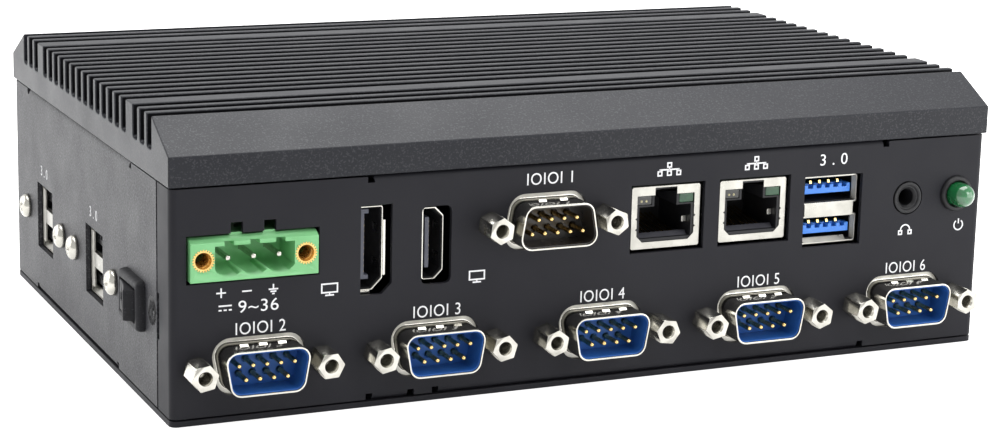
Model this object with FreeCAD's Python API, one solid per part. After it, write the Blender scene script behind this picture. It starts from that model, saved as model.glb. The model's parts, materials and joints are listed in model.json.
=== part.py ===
"""Fanless industrial computer: a finned aluminium heat sink closes a folded steel case.

Millimetres. The origin is the centre of the case's underside, +X is to the right as the
port panel is faced, the port panel faces -Y and +Z is up.
Every function makes one piece or one group of identical pieces; the last lines write
one STEP file for each.
"""
import FreeCAD, Part
import math
import os

from FreeCAD import Vector

# ---- driving dimensions -------------------------------------------------------------

case_width = 182.0
case_depth = 125.0
seam_height = 46.5          # underside of the heat sink, where the folded case meets it
heat_sink_height = 11.8
case_inset = 0.3            # the folded case stands this far inside the heat sink's outline
across = case_width / 182.0  # places across are given for a 182 mm case and spread with it

sheet = 1.0                 # folded panels
cover_sheet = 1.2           # bottom cover
bend_inside = 0.5
seam_gap = 0.35             # free edges of the folded panels stay this far off their neighbours
slide_gap = 0.1             # between overlapping sheets
flange_depth = 9.0
relief_width = 1.4
relief_height = 1.2

# heat sink
skirt_height = 5.9
bevel_run = 11.2
fin_slot_width = 3.1
fin_pitch = 4.9
fin_slot_depth = 6.65
fin_slot_corner = 0.9
centre_slots = 14
edge_slots = 3              # beyond each of the two wide ribs
wide_rib = 5.0
pedestal_size = 34.0
processor_centre = (-8.0 * across, 12.0)

# front panel's side wraps and their joggled screw tabs
wrap_length = 8.2
wrap_gap = 0.8
tab_height = 9.2
tab_centre_height = 20.0
tab_reach = 8.0
tab_screw_margin = 0.3

# flanges: where each starts and ends along its wall
front_top_flange = (-50.0 * across, 65.0 * across)
front_bottom_flanges = ((-50.0 * across, -42.6 * across), (-36.0 * across, 61.0 * across))
side_top_flange = (-34.6, 48.4)
side_bottom_flange = (-24.3, 41.7)
rear_flange = (-58.0 * across, 58.0 * across)

# serial ports
serial_row_height = 11.0
serial_row_count = 5
serial_left_margin = 17.8   # from the case's sides to the end ports' middles
serial_right_margin = 19.0
serial_first_x = serial_left_margin - case_width / 2
serial_pitch = (case_width - serial_left_margin - serial_right_margin) / (serial_row_count - 1)
serial_upper_x = -13.1 * across
serial_upper_height = seam_height - 11.7
nose_width = 17.6           # outside, at the wide side
nose_height = 9.0
nose_corner = 2.4
nose_slant = 10.0           # degrees
nose_wall = 0.45
nose_reach = 6.0            # in front of the panel
flange_width = 30.8
flange_height = 12.4
flange_sheet = 0.8
panel_port_gap = 1.2        # between the nose and the panel's cut-out
pin_row_counts = (5, 4)
pin_pitch = 2.77
pin_row_pitch = 2.84
pin_radius = 0.5
pin_reach = 5.2
insulator_width = 19.0
insulator_tall = 10.4
insulator_depth = 8.0
insulator_floor = 0.2       # its face stands this far behind the panel's front
screw_spacing = 24.99
hex_across_flats = 4.8
hex_reach = 6.2
hex_turn_step = 23.0        # each post was tightened to its own angle
hex_shank_end = 2.5         # past the port's flange
screw_hole_radius = 1.2
screw_hole_depth = 5.2
screw_shank_radius = 1.4
hole_clearance = 0.2

# network sockets
lan_first_x = 13.95 * across
lan_pitch = 20.3 * across
lan_height = seam_height - 13.1
lan_width = 15.7
lan_tall = 13.0
lan_depth = 21.0
lan_recess = 0.9            # behind the panel's front
lan_wall = 0.25
lan_cavity_width = 11.8
lan_cavity_depth = 14.0
lan_latch_width = 5.0
lan_light_tall = 2.0
lan_contact_count = 8
lan_contact_pitch = 1.02
lan_contact_size = 0.35
lan_contact_slope = 9.0
lan_cut_margin = 0.6
lan_frame_side = 1.3        # the shield's front beside its window, and the window's cut corners
lan_frame_top = 1.9
lan_frame_low = 1.4
lan_frame_latch = 0.35      # over the latch notch
lan_sill = 0.7              # the moulding's floor stands this far above the window's edge
lan_light_floor = 0.4       # moulding under each light
lan_light_depth = 4.0
lan_light_inner = 3.125     # from the socket's middle to each light
lan_latch_roof = 0.9
lan_contact_start = 3.0
lan_contact_foot = 0.8

# stacked USB sockets
usb_centre_x = 53.2 * across
usb_centre_height = seam_height - 14.5
usb_width = 13.4
usb_tall = 14.6
usb_depth = 17.0
usb_wall = 0.35
usb_recess = 1.5
usb_bar_tall = 3.2
usb_tongue_width = 11.1
usb_tongue_tall = 1.9
usb_tongue_recess = 1.0
usb_back_thickness = 3.0
usb_cut_margin = 0.35
side_usb_centres = (35.0, -7.2)
side_usb_height = 18.9
side_usb_recess = 1.9
side_usb_cut_margin = 0.1
side_usb_screw_spacing = 31.0
bracket_width = 38.0
bracket_tall = 9.0
bracket_thickness = 3.0

# upright video sockets: the first has one cut corner, the second two
video_height = seam_height - 14.9
video_one_x = -50.25 * across
video_one_size = (5.4, 16.8)
video_one_chamfer = 2.1
video_one_tongue = 14.0
video_two_x = -37.1 * across
video_two_size = (4.6, 14.6)
video_two_chamfer = 1.7
video_two_tongue = 10.2
video_wall = 0.3
video_depth = 12.0
video_recess = 1.7
video_tongue_thickness = 0.9
video_cut_margin = 0.55
video_one_cut_shift = 0.75   # each cut-out's middle lies this far right of its socket's
video_two_cut_shift = 0.15
video_two_cut_side = 0.85    # clear width beside the second socket
video_cut_corner = 1.2
video_socket_back = 2.5
video_tongue_side = 0.7     # from the shell's wall
video_tongue_recess = 1.0
video_hook = 0.9            # the short legs at the ends of the first socket's tongue
video_hook_shift = 0.6

# sound socket and power light
audio_x = 71.8 * across
audio_height = seam_height - 13.0
audio_ring_radius = 3.4
audio_bore_radius = 1.8
audio_bore_length = 14.0
audio_body_width = 8.0
audio_body_tall = 8.0
audio_proud = 0.2
light_x = 84.0 * across
light_height = seam_height - 12.8
light_holder_radius = 3.9
light_holder_proud = 1.0
light_neck_radius = 3.2
light_radius = 2.6
light_proud = 5.2
light_lip = 1.8             # clip behind the panel
light_lip_spread = 0.6

# power header
header_x = -74.35 * across
header_height = seam_height - 14.1
header_width = 25.4
header_tall = 8.4
header_depth = 12.0
header_proud = 1.0
header_chamfer = 0.9
header_cavity_width = 15.8
header_cavity_depth = 9.0
header_cavity_top = 2.6     # above the pins' axis
header_cavity_bottom = 3.4  # below it, at each scallop's lowest point
header_pitch = 5.08
header_pin_count = 3
header_pin_size = 1.0
header_pin_recess = 0.8
header_notch_width = 1.9
header_notch_depth = 4.0
header_lug_width = 2.4
header_lug_tall = 0.5
header_lug_offset = 3.3
header_cut_margin = 0.5
header_slot_tall = 2.1
header_scallop_overlap = 0.45   # each scallop runs this far into the next
header_floor_drop = 1.6
power_pin_bend = 1.5        # behind the header
insert_spacing = 20.32
insert_radius = 2.0
insert_bore_radius = 1.25
insert_length = 7.0
thread_gap = 0.02           # between a screw and the thread it turns in

# rocker switch, on the left wall
rocker_y = -38.6
rocker_height = 19.4
bezel_length = 14.0
bezel_tall = 10.2
bezel_proud = 1.8
bezel_corner = 1.3
bezel_chamfer = 0.6
switch_body_depth = 12.0
switch_body_wall = 0.55
rocker_radius = 5.1         # its ends are round about the pivot
rocker_width = 6.2
rocker_gap = 0.3
rocker_pivot_out = 0.6      # pivot axis in front of the wall
rocker_throw = 24.0         # degrees from one side to the other
rocker_corner_angle = 26.7  # top corner above the level, in mid-travel
rocker_face_dip = 0.35
rocker_skirt = 3.2
pocket_floor = 4.0          # of the switch body behind the rocker's pocket
rocker_end_share = 0.8      # of the skirt's depth that each round end covers
trunnion_radius = 0.6
trunnion_gap = 0.05
trunnion_length = 0.8
terminal_size = (6.5, 0.8, 4.8)  # length, thickness, height
terminal_spacing = 7.0

# boards and what they carry
board_thickness = 1.6
board_margin = 1.5
mainboard_screw_front = 30.0
mainboard_screw_back = 14.0
io_board_depth = 46.0
io_board_screw_inset = 6.0
io_board_screw_offset = 55.0 * across
spacer_across_flats = 5.5
board_hole_radius = 1.6
board_screw_head_radius = 2.7
board_screw_head = 1.6
board_screw_grip = 3.0
processor_size = (27.0, 25.0, 1.3)
pad_thickness = 1.0
memory_socket_size = (71.0, 6.5, 4.5)
memory_module_size = (67.6, 30.0, 1.2)
memory_chip_size = (12.0, 10.0, 1.2)
memory_chip_pitch = 16.0
memory_drop = 1.6           # of the module below the mainboard
module_grip = 2.0           # of each module in its socket
storage_size = (22.0, 50.0, 0.8)
storage_chip_size = (14.0, 12.0, 1.4)
storage_chip_places = (14.0, 32.0)
storage_tongue = (20.0, 3.0)
storage_drop = 2.4
storage_socket_size = (22.0, 5.0, 4.0)
slot_length = 4.0           # cut in each module socket
memory_y = 30.0
storage_x = 62.0 * across
link_header_size = (42.0, 5.0)
link_header_margin = 2.0
cell_radius = 10.0
cell_thickness = 3.2
cell_place = (-62.0 * across, 38.0)

# fasteners
panel_screw_radius = 3.0
panel_screw_shank = 1.4
panel_screw_length = 5.0    # of the hole in the heat sink
panel_screw_reach = 3.0
cover_screw_reach = 4.0
cover_screw_inset = 8.0     # from the ends of the flange that it holds
cover_screw_margin = 3.2    # from the flange's free edge
heat_sink_screw_inset = 16.0
countersink_depth = 0.9
loose_gap = 0.25            # around a screw where it passes through without turning in a thread
pan_head_radius = 2.7
pan_head_height = 1.9
pan_head_curve = ((0, 1), (0.5, 0.94), (1, 0.6))    # shares of the height and radius
mount_hole_spacing = 75.0
mount_hole_radius = 1.65
mount_collar_radius = 3.0
mount_collar_height = 2.4

# faces given to small round things, which are many; bores that a mate enters are true circles
small_sides = 6
round_sides = 12
lamp_sides = 16
corner_chord_count = 3
bend_chord_count = 4

# ---- places worked out from the dimensions --------------------------------------------

x_left = -case_width / 2 + case_inset
x_right = -x_left
y_front = -case_depth / 2 + case_inset
y_rear = -y_front
wall_low = cover_sheet + seam_gap
wall_high = seam_height - seam_gap
bend_outside = sheet + bend_inside
panel_back = y_front + sheet
heat_sink_top = seam_height + heat_sink_height

mainboard_low = serial_upper_height + insulator_tall / 2
mainboard_top = mainboard_low + board_thickness
io_board_top = serial_row_height - insulator_tall / 2
io_board_low = io_board_top - board_thickness
board_front = panel_back + flange_sheet + slide_gap * 2
screw_tab_y = y_front + wrap_length + wrap_gap + panel_screw_radius + tab_screw_margin

serial_places = [(serial_upper_x, serial_upper_height, -1)]
for port in range(serial_row_count):
    serial_places.append((serial_first_x + port * serial_pitch, serial_row_height, 1))
lan_places = [lan_first_x, lan_first_x + lan_pitch]

X = Vector(1, 0, 0)
Y = Vector(0, 1, 0)
Z = Vector(0, 0, 1)


# ---- shape helpers --------------------------------------------------------------------

def block(x0, x1, y0, y1, z0, z1):
    low = Vector(min(x0, x1), min(y0, y1), min(z0, z1))
    return Part.makeBox(abs(x1 - x0), abs(y1 - y0), abs(z1 - z0), low)


def centred(x, y0, y1, z, width, tall):
    """A block centred on x and z that runs from y0 to y1."""
    return block(x - width / 2, x + width / 2, y0, y1, z - tall / 2, z + tall / 2)


def rod(radius, start, direction, length):
    return Part.makeCylinder(radius, length, start, direction)


def flat_face(points):
    return Part.Face(Part.makePolygon(points + [points[0]]))


def solid_from(faces):
    body = Part.makeSolid(Part.makeShell(faces))
    if body.Volume < 0:
        body.reverse()
    return body


def turned(stations, start, axis, sides):
    """A faceted turning: rings at (distance, radius) stations along the axis."""
    across = Y if abs(axis.x) > 0.5 else X
    up = Y if abs(axis.z) > 0.5 else Z
    rings = []
    for distance, radius in stations:
        reach = radius / math.cos(math.pi / sides)
        angles = [2 * math.pi * (i + 0.5) / sides for i in range(sides)]
        rings.append([start + axis * distance + across * (reach * math.cos(a))
                      + up * (reach * math.sin(a)) for a in angles])
    faces = [flat_face(rings[0]), flat_face(rings[-1])]
    for near, far in zip(rings, rings[1:]):
        for i in range(sides):
            faces.append(flat_face([near[i - 1], near[i], far[i], far[i - 1]]))
    return solid_from(faces)


def shaft(radius, start, axis, length, sides=small_sides):
    """A faceted bar or hole; its flats touch the true circle."""
    return turned([(0, radius), (length, radius)], start, axis, sides)


def loop(points, radii, chords=0):
    """A closed wire through the points, each corner rounded by an arc or by a few chords."""
    count = len(points)
    entries, exits, arcs = [], [], []
    for i, corner in enumerate(points):
        if radii[i] == 0:
            entries.append(corner)
            exits.append(corner)
            arcs.append(None)
            continue
        back = (points[i - 1] - corner).normalize()
        ahead = (points[(i + 1) % count] - corner).normalize()
        half = back.getAngle(ahead) / 2
        reach = radii[i] / math.tan(half)
        middle = (back + ahead).normalize()
        nearest = corner + middle * (radii[i] / math.sin(half) - radii[i])
        entries.append(corner + back * reach)
        exits.append(corner + ahead * reach)
        arcs.append(nearest)
    edges = []
    for i in range(count):
        if arcs[i] is not None:
            edges += rounded(entries[i], arcs[i], exits[i], chords)
        following = entries[(i + 1) % count]
        if (following - exits[i]).Length > 1e-6:
            edges.append(Part.makeLine(exits[i], following))
    return Part.Wire(edges)


def rounded(first, middle, last, chords):
    """An arc through three points, or that many equal chords of it."""
    arc = Part.Arc(first, middle, last)
    if chords == 0:
        return [arc.toShape()]
    start, end = arc.FirstParameter, arc.LastParameter
    spots = [arc.value(start + (end - start) * i / chords) for i in range(chords + 1)]
    return [Part.makeLine(a, b) for a, b in zip(spots, spots[1:])]


def prism(points, travel, radii=None, chords=0):
    """The flat shape through the points, with rounded corners, carried along travel."""
    return Part.Face(loop(points, radii or [0] * len(points), chords)).extrude(travel)


def on_front(pairs, y):
    return [Vector(x, y, z) for x, z in pairs]


def cut_all(body, tools):
    return body.cut(Part.makeCompound(tools)) if tools else body


def join(first, *others):
    return first.fuse(list(others)).removeSplitter()


def group(solids):
    return Part.makeCompound(solids)


# ---- folded sheet walls ---------------------------------------------------------------

walls = {
    "front": (Vector(0, y_front, 0), Y, X),
    "rear": (Vector(0, y_rear, 0), -Y, X),
    "left": (Vector(x_left, 0, 0), X, Y),
    "right": (Vector(x_right, 0, 0), -X, Y),
}


def at_wall(wall, along, depth, z):
    origin, inward, run = walls[wall]
    return origin + run * along + inward * depth + Z * z


def wall_block(wall, start, end, depth0, depth1, z0, z1):
    a = at_wall(wall, start, depth0, z0)
    b = at_wall(wall, end, depth1, z1)
    return block(a.x, b.x, a.y, b.y, a.z, b.z)


def folded_edge(wall, start, end, level, side):
    """The bend and flange along a wall's top (side 1) or bottom (side -1) edge."""
    root = level - side * (bend_outside + relief_height)
    inner = level - side * sheet
    profile = [(0, root), (0, level), (flange_depth, level), (flange_depth, inner),
               (sheet, inner), (sheet, root)]
    points = [at_wall(wall, start, depth, z) for depth, z in profile]
    run = walls[wall][2] * (end - start)
    return prism(points, run, [0, bend_outside, 0, 0, bend_inside, 0], bend_chord_count)


def add_flange(body, wall, span, level, side):
    """Trims the wall's edge along the span, cuts the two reliefs and adds the flange."""
    start, end = span
    root = level - side * (bend_outside + relief_height)
    notch = level - side * (relief_height + seam_gap)
    past = level + side
    body = cut_all(body, [
        wall_block(wall, start, end, -1, sheet + 1, root, past),
        wall_block(wall, start - relief_width, start, -1, sheet + 1, notch, past),
        wall_block(wall, end, end + relief_width, -1, sheet + 1, notch, past),
    ])
    return join(body, folded_edge(wall, start, end, level, side))


def channel(wrap_start, wrap_end, wall_y):
    """A wall across the case with both ends folded along the sides, seen from above."""
    inward = 1 if wall_y < 0 else -1
    inner_y = wall_y + inward * sheet
    ends = wrap_end if inward > 0 else wrap_start
    points = [(x_left, ends), (x_left, wall_y), (x_right, wall_y), (x_right, ends),
              (x_right - sheet, ends), (x_right - sheet, inner_y),
              (x_left + sheet, inner_y), (x_left + sheet, ends)]
    corners = [Vector(x, y, wall_low) for x, y in points]
    radii = [0, bend_outside, bend_outside, 0, 0, bend_inside, bend_inside, 0]
    return prism(corners, Z * (wall_high - wall_low), radii, bend_chord_count)


# ---- case -----------------------------------------------------------------------------

def slot_centres():
    centres = [(i - (centre_slots - 1) / 2) * fin_pitch for i in range(centre_slots)]
    outer = centres[-1] + fin_slot_width + wide_rib
    for i in range(edge_slots):
        centres += [outer + i * fin_pitch, -outer - i * fin_pitch]
    return centres


def heat_sink_screw_places():
    depth = flange_depth / 2 + bend_inside
    start, end = front_top_flange
    back = rear_flange[1] - heat_sink_screw_inset
    return [(start + heat_sink_screw_inset, y_front + depth),
            (end - heat_sink_screw_inset, y_front + depth),
            (-back, y_rear - depth), (back, y_rear - depth)]


def mainboard_screw_places():
    out = x_right - flange_depth - spacer_across_flats
    return [(-out, y_front + mainboard_screw_front), (out, y_front + mainboard_screw_front),
            (-out, y_rear - mainboard_screw_back), (out, y_rear - mainboard_screw_back)]


def heat_sink():
    half = case_depth / 2
    skirt_top = seam_height + skirt_height
    profile = [(-half, seam_height), (half, seam_height), (half, skirt_top),
               (half - bevel_run, heat_sink_top), (bevel_run - half, heat_sink_top),
               (-half, skirt_top)]
    body = prism([Vector(-case_width / 2, y, z) for y, z in profile], X * case_width)
    bottom = heat_sink_top - fin_slot_depth
    slots = []
    for y in slot_centres():
        left, right = y - fin_slot_width / 2, y + fin_slot_width / 2
        section = [(left, heat_sink_top + 1), (left, bottom), (right, bottom),
                   (right, heat_sink_top + 1)]
        points = [Vector(-case_width / 2 - 1, a, z) for a, z in section]
        radii = [0, fin_slot_corner, fin_slot_corner, 0]
        slots.append(prism(points, X * (case_width + 2), radii, corner_chord_count))
    body = cut_all(body, slots)
    pad_top = mainboard_top + processor_size[2] + pad_thickness
    cx, cy = processor_centre
    half_size = pedestal_size / 2
    pedestal = block(cx - half_size, cx + half_size, cy - half_size, cy + half_size,
                     pad_top, seam_height)
    body = join(body, pedestal)
    holes = [shaft(panel_screw_shank, Vector(x, y, seam_height - 1), Z, panel_screw_length)
             for x, y in heat_sink_screw_places() + mainboard_screw_places()]
    return cut_all(body, holes)


def heat_sink_screws():
    """Up through the folded top flanges into the heat sink."""
    solids = []
    for x, y in heat_sink_screw_places():
        under = seam_height - sheet
        head = shaft(board_screw_head_radius, Vector(x, y, under - board_screw_head), Z,
                     board_screw_head)
        shank = shaft(panel_screw_shank - thread_gap, Vector(x, y, under), Z, sheet + board_screw_grip)
        solids.append(join(head, shank))
    return group(solids)


def nose_outline(inset, up):
    """Half-rounded trapezoid of a serial port's nose, inset from its outer faces."""
    half_tall = nose_height / 2 - inset
    slant = math.tan(math.radians(nose_slant))
    wide = nose_width / 2 - inset
    narrow = wide - 2 * half_tall * slant
    return [(-wide, up * half_tall), (wide, up * half_tall),
            (narrow, -up * half_tall), (-narrow, -up * half_tall)]


def nose_prism(place, inset, y0, y1):
    x, z, up = place
    points = [Vector(x + a, y0, z + b) for a, b in nose_outline(inset, up)]
    return prism(points, Y * (y1 - y0), [nose_corner - inset] * 4, corner_chord_count)


def video_outline(x, size, chamfer, both, grow):
    """Upright socket outline: the right side loses its lower corner, or both corners."""
    half_w, half_t = size[0] / 2 + grow, size[1] / 2 + grow
    points = [(-half_w, -half_t), (-half_w, half_t)]
    if both:
        points += [(half_w - chamfer, half_t), (half_w, half_t - chamfer)]
    else:
        points += [(half_w, half_t)]
    points += [(half_w, chamfer - half_t), (half_w - chamfer, -half_t)]
    return [(x + a, video_height + b) for a, b in points]


def header_slot_places():
    return [header_x - header_lug_offset, header_x + header_lug_offset]


def panel_cut_outs():
    """Everything cut through the port panel."""
    y0, y1 = y_front - 1, panel_back + 1
    tools = []
    for place in serial_places:
        tools.append(nose_prism(place, -panel_port_gap, y0, y1))
        for side in (-1, 1):
            start = Vector(place[0] + side * screw_spacing / 2, y0, place[1])
            tools.append(shaft(screw_shank_radius + hole_clearance, start, Y, y1 - y0))
    for x in lan_places:
        tools.append(centred(x, y0, y1, lan_height, lan_width + 2 * lan_cut_margin,
                             lan_tall + 2 * lan_cut_margin))
    tools.append(centred(usb_centre_x, y0, y1, usb_centre_height,
                         usb_width + 2 * usb_cut_margin, usb_tall + 2 * usb_cut_margin))
    one = video_outline(video_one_x + video_one_cut_shift, video_one_size, video_one_chamfer, False,
                        video_cut_margin)
    tools.append(prism(on_front(one, y0), Y * (y1 - y0)))
    half_w = video_two_size[0] / 2 + video_two_cut_side
    middle_x = video_two_x + video_two_cut_shift
    half_t = video_two_size[1] / 2 + video_cut_margin
    two = [(middle_x - half_w, video_height - half_t), (middle_x - half_w, video_height + half_t),
           (middle_x + half_w, video_height + half_t), (middle_x + half_w, video_height - half_t)]
    tools.append(prism(on_front(two, y0), Y * (y1 - y0), [video_cut_corner] * 4, corner_chord_count))
    tools.append(shaft(audio_ring_radius + hole_clearance, Vector(audio_x, y0, audio_height), Y,
                       y1 - y0, lamp_sides))
    tools.append(shaft(light_neck_radius + hole_clearance / 2, Vector(light_x, y0, light_height), Y,
                       y1 - y0, lamp_sides))
    tall = header_tall + 2 * header_cut_margin
    tools.append(centred(header_x, y0, y1, header_height, header_width + 2 * header_cut_margin, tall))
    for x in header_slot_places():
        tools.append(centred(x, y0, y1, header_height + tall / 2, header_lug_width, 2 * header_slot_tall))
    return tools


def screw_tab(side):
    """Joggled tab on a side wrap: it steps in behind the side wall and takes its screw."""
    outer = x_right
    inner = x_right - sheet
    step = sheet + slide_gap
    fold = y_front + wrap_length
    end = screw_tab_y + tab_reach / 2
    points = [(outer, fold - 1.0), (outer - step, fold), (outer - step, end),
              (inner - step, end), (inner - step, fold - 0.3), (inner, fold - 1.3)]
    low = tab_centre_height - tab_height / 2
    corners = [Vector(side * x, y, low) for x, y in points]
    tab = prism(corners, Z * tab_height)
    hole = shaft(panel_screw_shank, Vector(side * (outer + 1), screw_tab_y, tab_centre_height),
                 X * -side, 6.0)
    return tab.cut(hole)


def front_panel():
    fold = y_front + wrap_length
    body = channel(None, fold, y_front)
    low = tab_centre_height - tab_height / 2
    trims = []
    for side in (-1, 1):
        trims.append(block(side * (x_right + 1), side * (x_right - sheet - 1), fold - 1.0, fold + 1,
                           low, low + tab_height))
    body = cut_all(body, trims)
    body = join(body, screw_tab(-1), screw_tab(1))
    body = add_flange(body, "front", front_top_flange, seam_height, 1)
    for span in front_bottom_flanges:
        body = add_flange(body, "front", span, cover_sheet, -1)
    holes = panel_cut_outs()
    for x, y in heat_sink_screw_places()[:2]:
        holes.append(shaft(panel_screw_shank, Vector(x, y, seam_height - sheet - 1), Z, sheet + 2))
    for x, y in cover_screw_places()[:2]:
        holes.append(shaft(panel_screw_shank, Vector(x, y, cover_sheet - 1), Z, sheet + 2))
    return cut_all(body, holes)


def countersink(point, inward):
    """Cone and clearance hole for a flat-headed screw whose head is flush at the point."""
    cone = turned([(0, panel_screw_radius), (countersink_depth, panel_screw_shank)], point, inward,
                  round_sides)
    return [cone, shaft(panel_screw_shank + loose_gap, point, inward, 4.0, round_sides)]


def side_usb_screw_places():
    half = side_usb_screw_spacing / 2
    return [y + side * half for y in side_usb_centres for side in (-1, 1)]


def side_and_rear_panel():
    start = y_front + wrap_length + wrap_gap
    body = channel(start, None, y_rear)
    for wall in ("left", "right"):
        body = add_flange(body, wall, side_top_flange, seam_height, 1)
        body = add_flange(body, wall, side_bottom_flange, cover_sheet, -1)
    body = add_flange(body, "rear", rear_flange, seam_height, 1)
    body = add_flange(body, "rear", rear_flange, cover_sheet, -1)
    holes = []
    for side in (-1, 1):
        point = Vector(side * x_right, screw_tab_y, tab_centre_height)
        holes += countersink(point, X * -side)
    for y in side_usb_centres:
        half_w = usb_width / 2 + side_usb_cut_margin
        half_t = usb_tall / 2 + side_usb_cut_margin
        holes.append(wall_block("left", y - half_w, y + half_w, -1, sheet + 1,
                                side_usb_height - half_t, side_usb_height + half_t))
    for y in side_usb_screw_places():
        holes.append(shaft(panel_screw_shank + hole_clearance, at_wall("left", y, -1, side_usb_height),
                           X, sheet + 2))
    holes.append(wall_block("left", rocker_y - switch_length() / 2 - slide_gap,
                            rocker_y + switch_length() / 2 + slide_gap, -1, sheet + 1,
                            rocker_height - switch_tall() / 2 - slide_gap,
                            rocker_height + switch_tall() / 2 + slide_gap))
    for x, y in heat_sink_screw_places()[2:]:
        holes.append(shaft(panel_screw_shank, Vector(x, y, seam_height - sheet - 1), Z, sheet + 2))
    for x, y in cover_screw_places()[2:]:
        holes.append(shaft(panel_screw_shank, Vector(x, y, cover_sheet - 1), Z, sheet + 2))
    return cut_all(body, holes)


def panel_screws():
    """Flat-headed screws that hold the side walls to the front panel's tabs."""
    solids = []
    for side in (-1, 1):
        point = Vector(side * x_right, screw_tab_y, tab_centre_height)
        solids.append(flat_screw(point, X * -side, panel_screw_reach))
    return group(solids)


def flat_screw(point, inward, length):
    head = turned([(0, panel_screw_radius - thread_gap),
                   (countersink_depth, panel_screw_shank - thread_gap)], point, inward, round_sides)
    shank = shaft(panel_screw_shank - thread_gap, point + inward * countersink_depth, inward,
                  length - countersink_depth)
    return join(head, shank)


def cover_screw_places():
    depth = flange_depth - cover_screw_margin
    near = front_bottom_flanges[0]
    far = front_bottom_flanges[1]
    back = rear_flange[1] - cover_screw_inset
    return [((near[0] + near[1]) / 2, y_front + depth), (far[1] - cover_screw_inset, y_front + depth),
            (-back, y_rear - depth), (back, y_rear - depth)]


def mount_hole_places():
    half = mount_hole_spacing / 2
    return [(x, y) for x in (-half, half) for y in (-half, half)]


def bottom_cover():
    corners = [(x_left, y_front), (x_right, y_front), (x_right, y_rear), (x_left, y_rear)]
    body = prism([Vector(x, y, 0) for x, y in corners], Z * cover_sheet, [bend_outside] * 4,
                 bend_chord_count)
    collars = [shaft(mount_collar_radius, Vector(x, y, 0), Z, mount_collar_height)
               for x, y in mount_hole_places()]
    body = join(body, *collars)
    holes = [rod(mount_hole_radius, Vector(x, y, -1), Z, mount_collar_height + 2)
             for x, y in mount_hole_places()]
    for x, y in cover_screw_places():
        holes += countersink(Vector(x, y, 0), Z)
    for x, y in io_board_screw_places():
        holes.append(shaft(panel_screw_shank, Vector(x, y, -1), Z, cover_sheet + 2))
    return cut_all(body, holes)


def cover_screws():
    return group([flat_screw(Vector(x, y, 0), Z, cover_screw_reach)
                  for x, y in cover_screw_places()])


# ---- serial ports ---------------------------------------------------------------------

def jackscrew_places(place):
    return [(place[0] + side * screw_spacing / 2, place[1]) for side in (-1, 1)]


def serial_shell(place):
    """Drawn steel flange and nose; the flange lies behind the panel."""
    x, z, up = place
    flange = centred(x, panel_back, panel_back + flange_sheet, z, flange_width, flange_height)
    body = join(flange, nose_prism(place, 0, y_front - nose_reach, panel_back))
    tools = [nose_prism(place, nose_wall, y_front - nose_reach - 1, panel_back + flange_sheet + 1)]
    for sx, sz in jackscrew_places(place):
        tools.append(shaft(screw_shank_radius + 0.05, Vector(sx, panel_back - 1, sz), Y, flange_sheet + 2))
    return cut_all(body, tools)


def pin_places(place):
    x, z, up = place
    spots = []
    for count, row in zip(pin_row_counts, (1, -1)):
        for i in range(count):
            spots.append((x + (i - (count - 1) / 2) * pin_pitch, z + up * row * pin_row_pitch / 2))
    return spots


def serial_insulator(place):
    """Moulded body: a plug that fills the nose's root, and a block behind the flange."""
    x, z, up = place
    flange_back = panel_back + flange_sheet
    plug = nose_prism(place, nose_wall + 0.02, y_front + insulator_floor, flange_back)
    rear = centred(x, flange_back, flange_back + insulator_depth, z, insulator_width, insulator_tall)
    body = join(plug, rear)
    length = insulator_depth + flange_back - y_front
    holes = [shaft(pin_radius, Vector(px, y_front, pz), Y, length + 1, small_sides)
             for px, pz in pin_places(place)]
    return cut_all(body, holes)


def serial_pins():
    """Pins of all the serial ports, through their insulators."""
    solids = []
    for place in serial_places:
        end = panel_back + flange_sheet + insulator_depth
        for px, pz in pin_places(place):
            start = Vector(px, y_front - pin_reach, pz)
            solids.append(shaft(pin_radius, start, Y, end - start.y, small_sides))
    return group(solids)


def serial_jackscrews():
    """Hexagon posts with a threaded hole in front and a shank through panel and flange."""
    solids = []
    for place in serial_places:
        for sx, sz in jackscrew_places(place):
            turn = hex_turn_step * len(solids)
            front = y_front - hex_reach
            post = shaft(hex_across_flats / 2, Vector(sx, front, sz), Y, hex_reach, 6)
            post.rotate(Vector(sx, front, sz), Y, turn)
            shank = shaft(screw_shank_radius, Vector(sx, y_front, sz), Y,
                          sheet + flange_sheet + hex_shank_end)
            hole = shaft(screw_hole_radius, Vector(sx, front - 1, sz), Y, screw_hole_depth + 1,
                         round_sides)
            solids.append(join(post, shank).cut(hole))
    return group(solids)


# ---- network sockets ------------------------------------------------------------------

lan_front = y_front + lan_recess
lan_opening_half = lan_width / 2 - lan_frame_side
lan_opening_top = lan_tall / 2 - lan_frame_top
lan_opening_low = -lan_tall / 2 + lan_frame_low
lan_cavity_top = lan_opening_top - lan_light_tall - lan_light_floor
lan_cavity_low = lan_opening_low + lan_sill


def lan_shield(x):
    """Folded steel can with the port's window in its front."""
    body = centred(x, lan_front, lan_front + lan_depth, lan_height, lan_width, lan_tall)
    inside = centred(x, lan_front + lan_wall, lan_front + lan_depth + 1, lan_height,
                     lan_width - 2 * lan_wall, lan_tall - 2 * lan_wall)
    half, latch = lan_opening_half, lan_latch_width / 2
    top, low, roof = lan_opening_top, lan_opening_low, lan_tall / 2 - lan_frame_latch
    cut = lan_frame_side
    window = [(-half, low + cut), (-half, top), (-latch, top), (-latch, roof), (latch, roof),
              (latch, top), (half, top), (half, low + cut), (half - cut, low), (cut - half, low)]
    points = [Vector(x + a, lan_front - 1, lan_height + b) for a, b in window]
    return cut_all(body, [inside, prism(points, Y * 2)])


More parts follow.
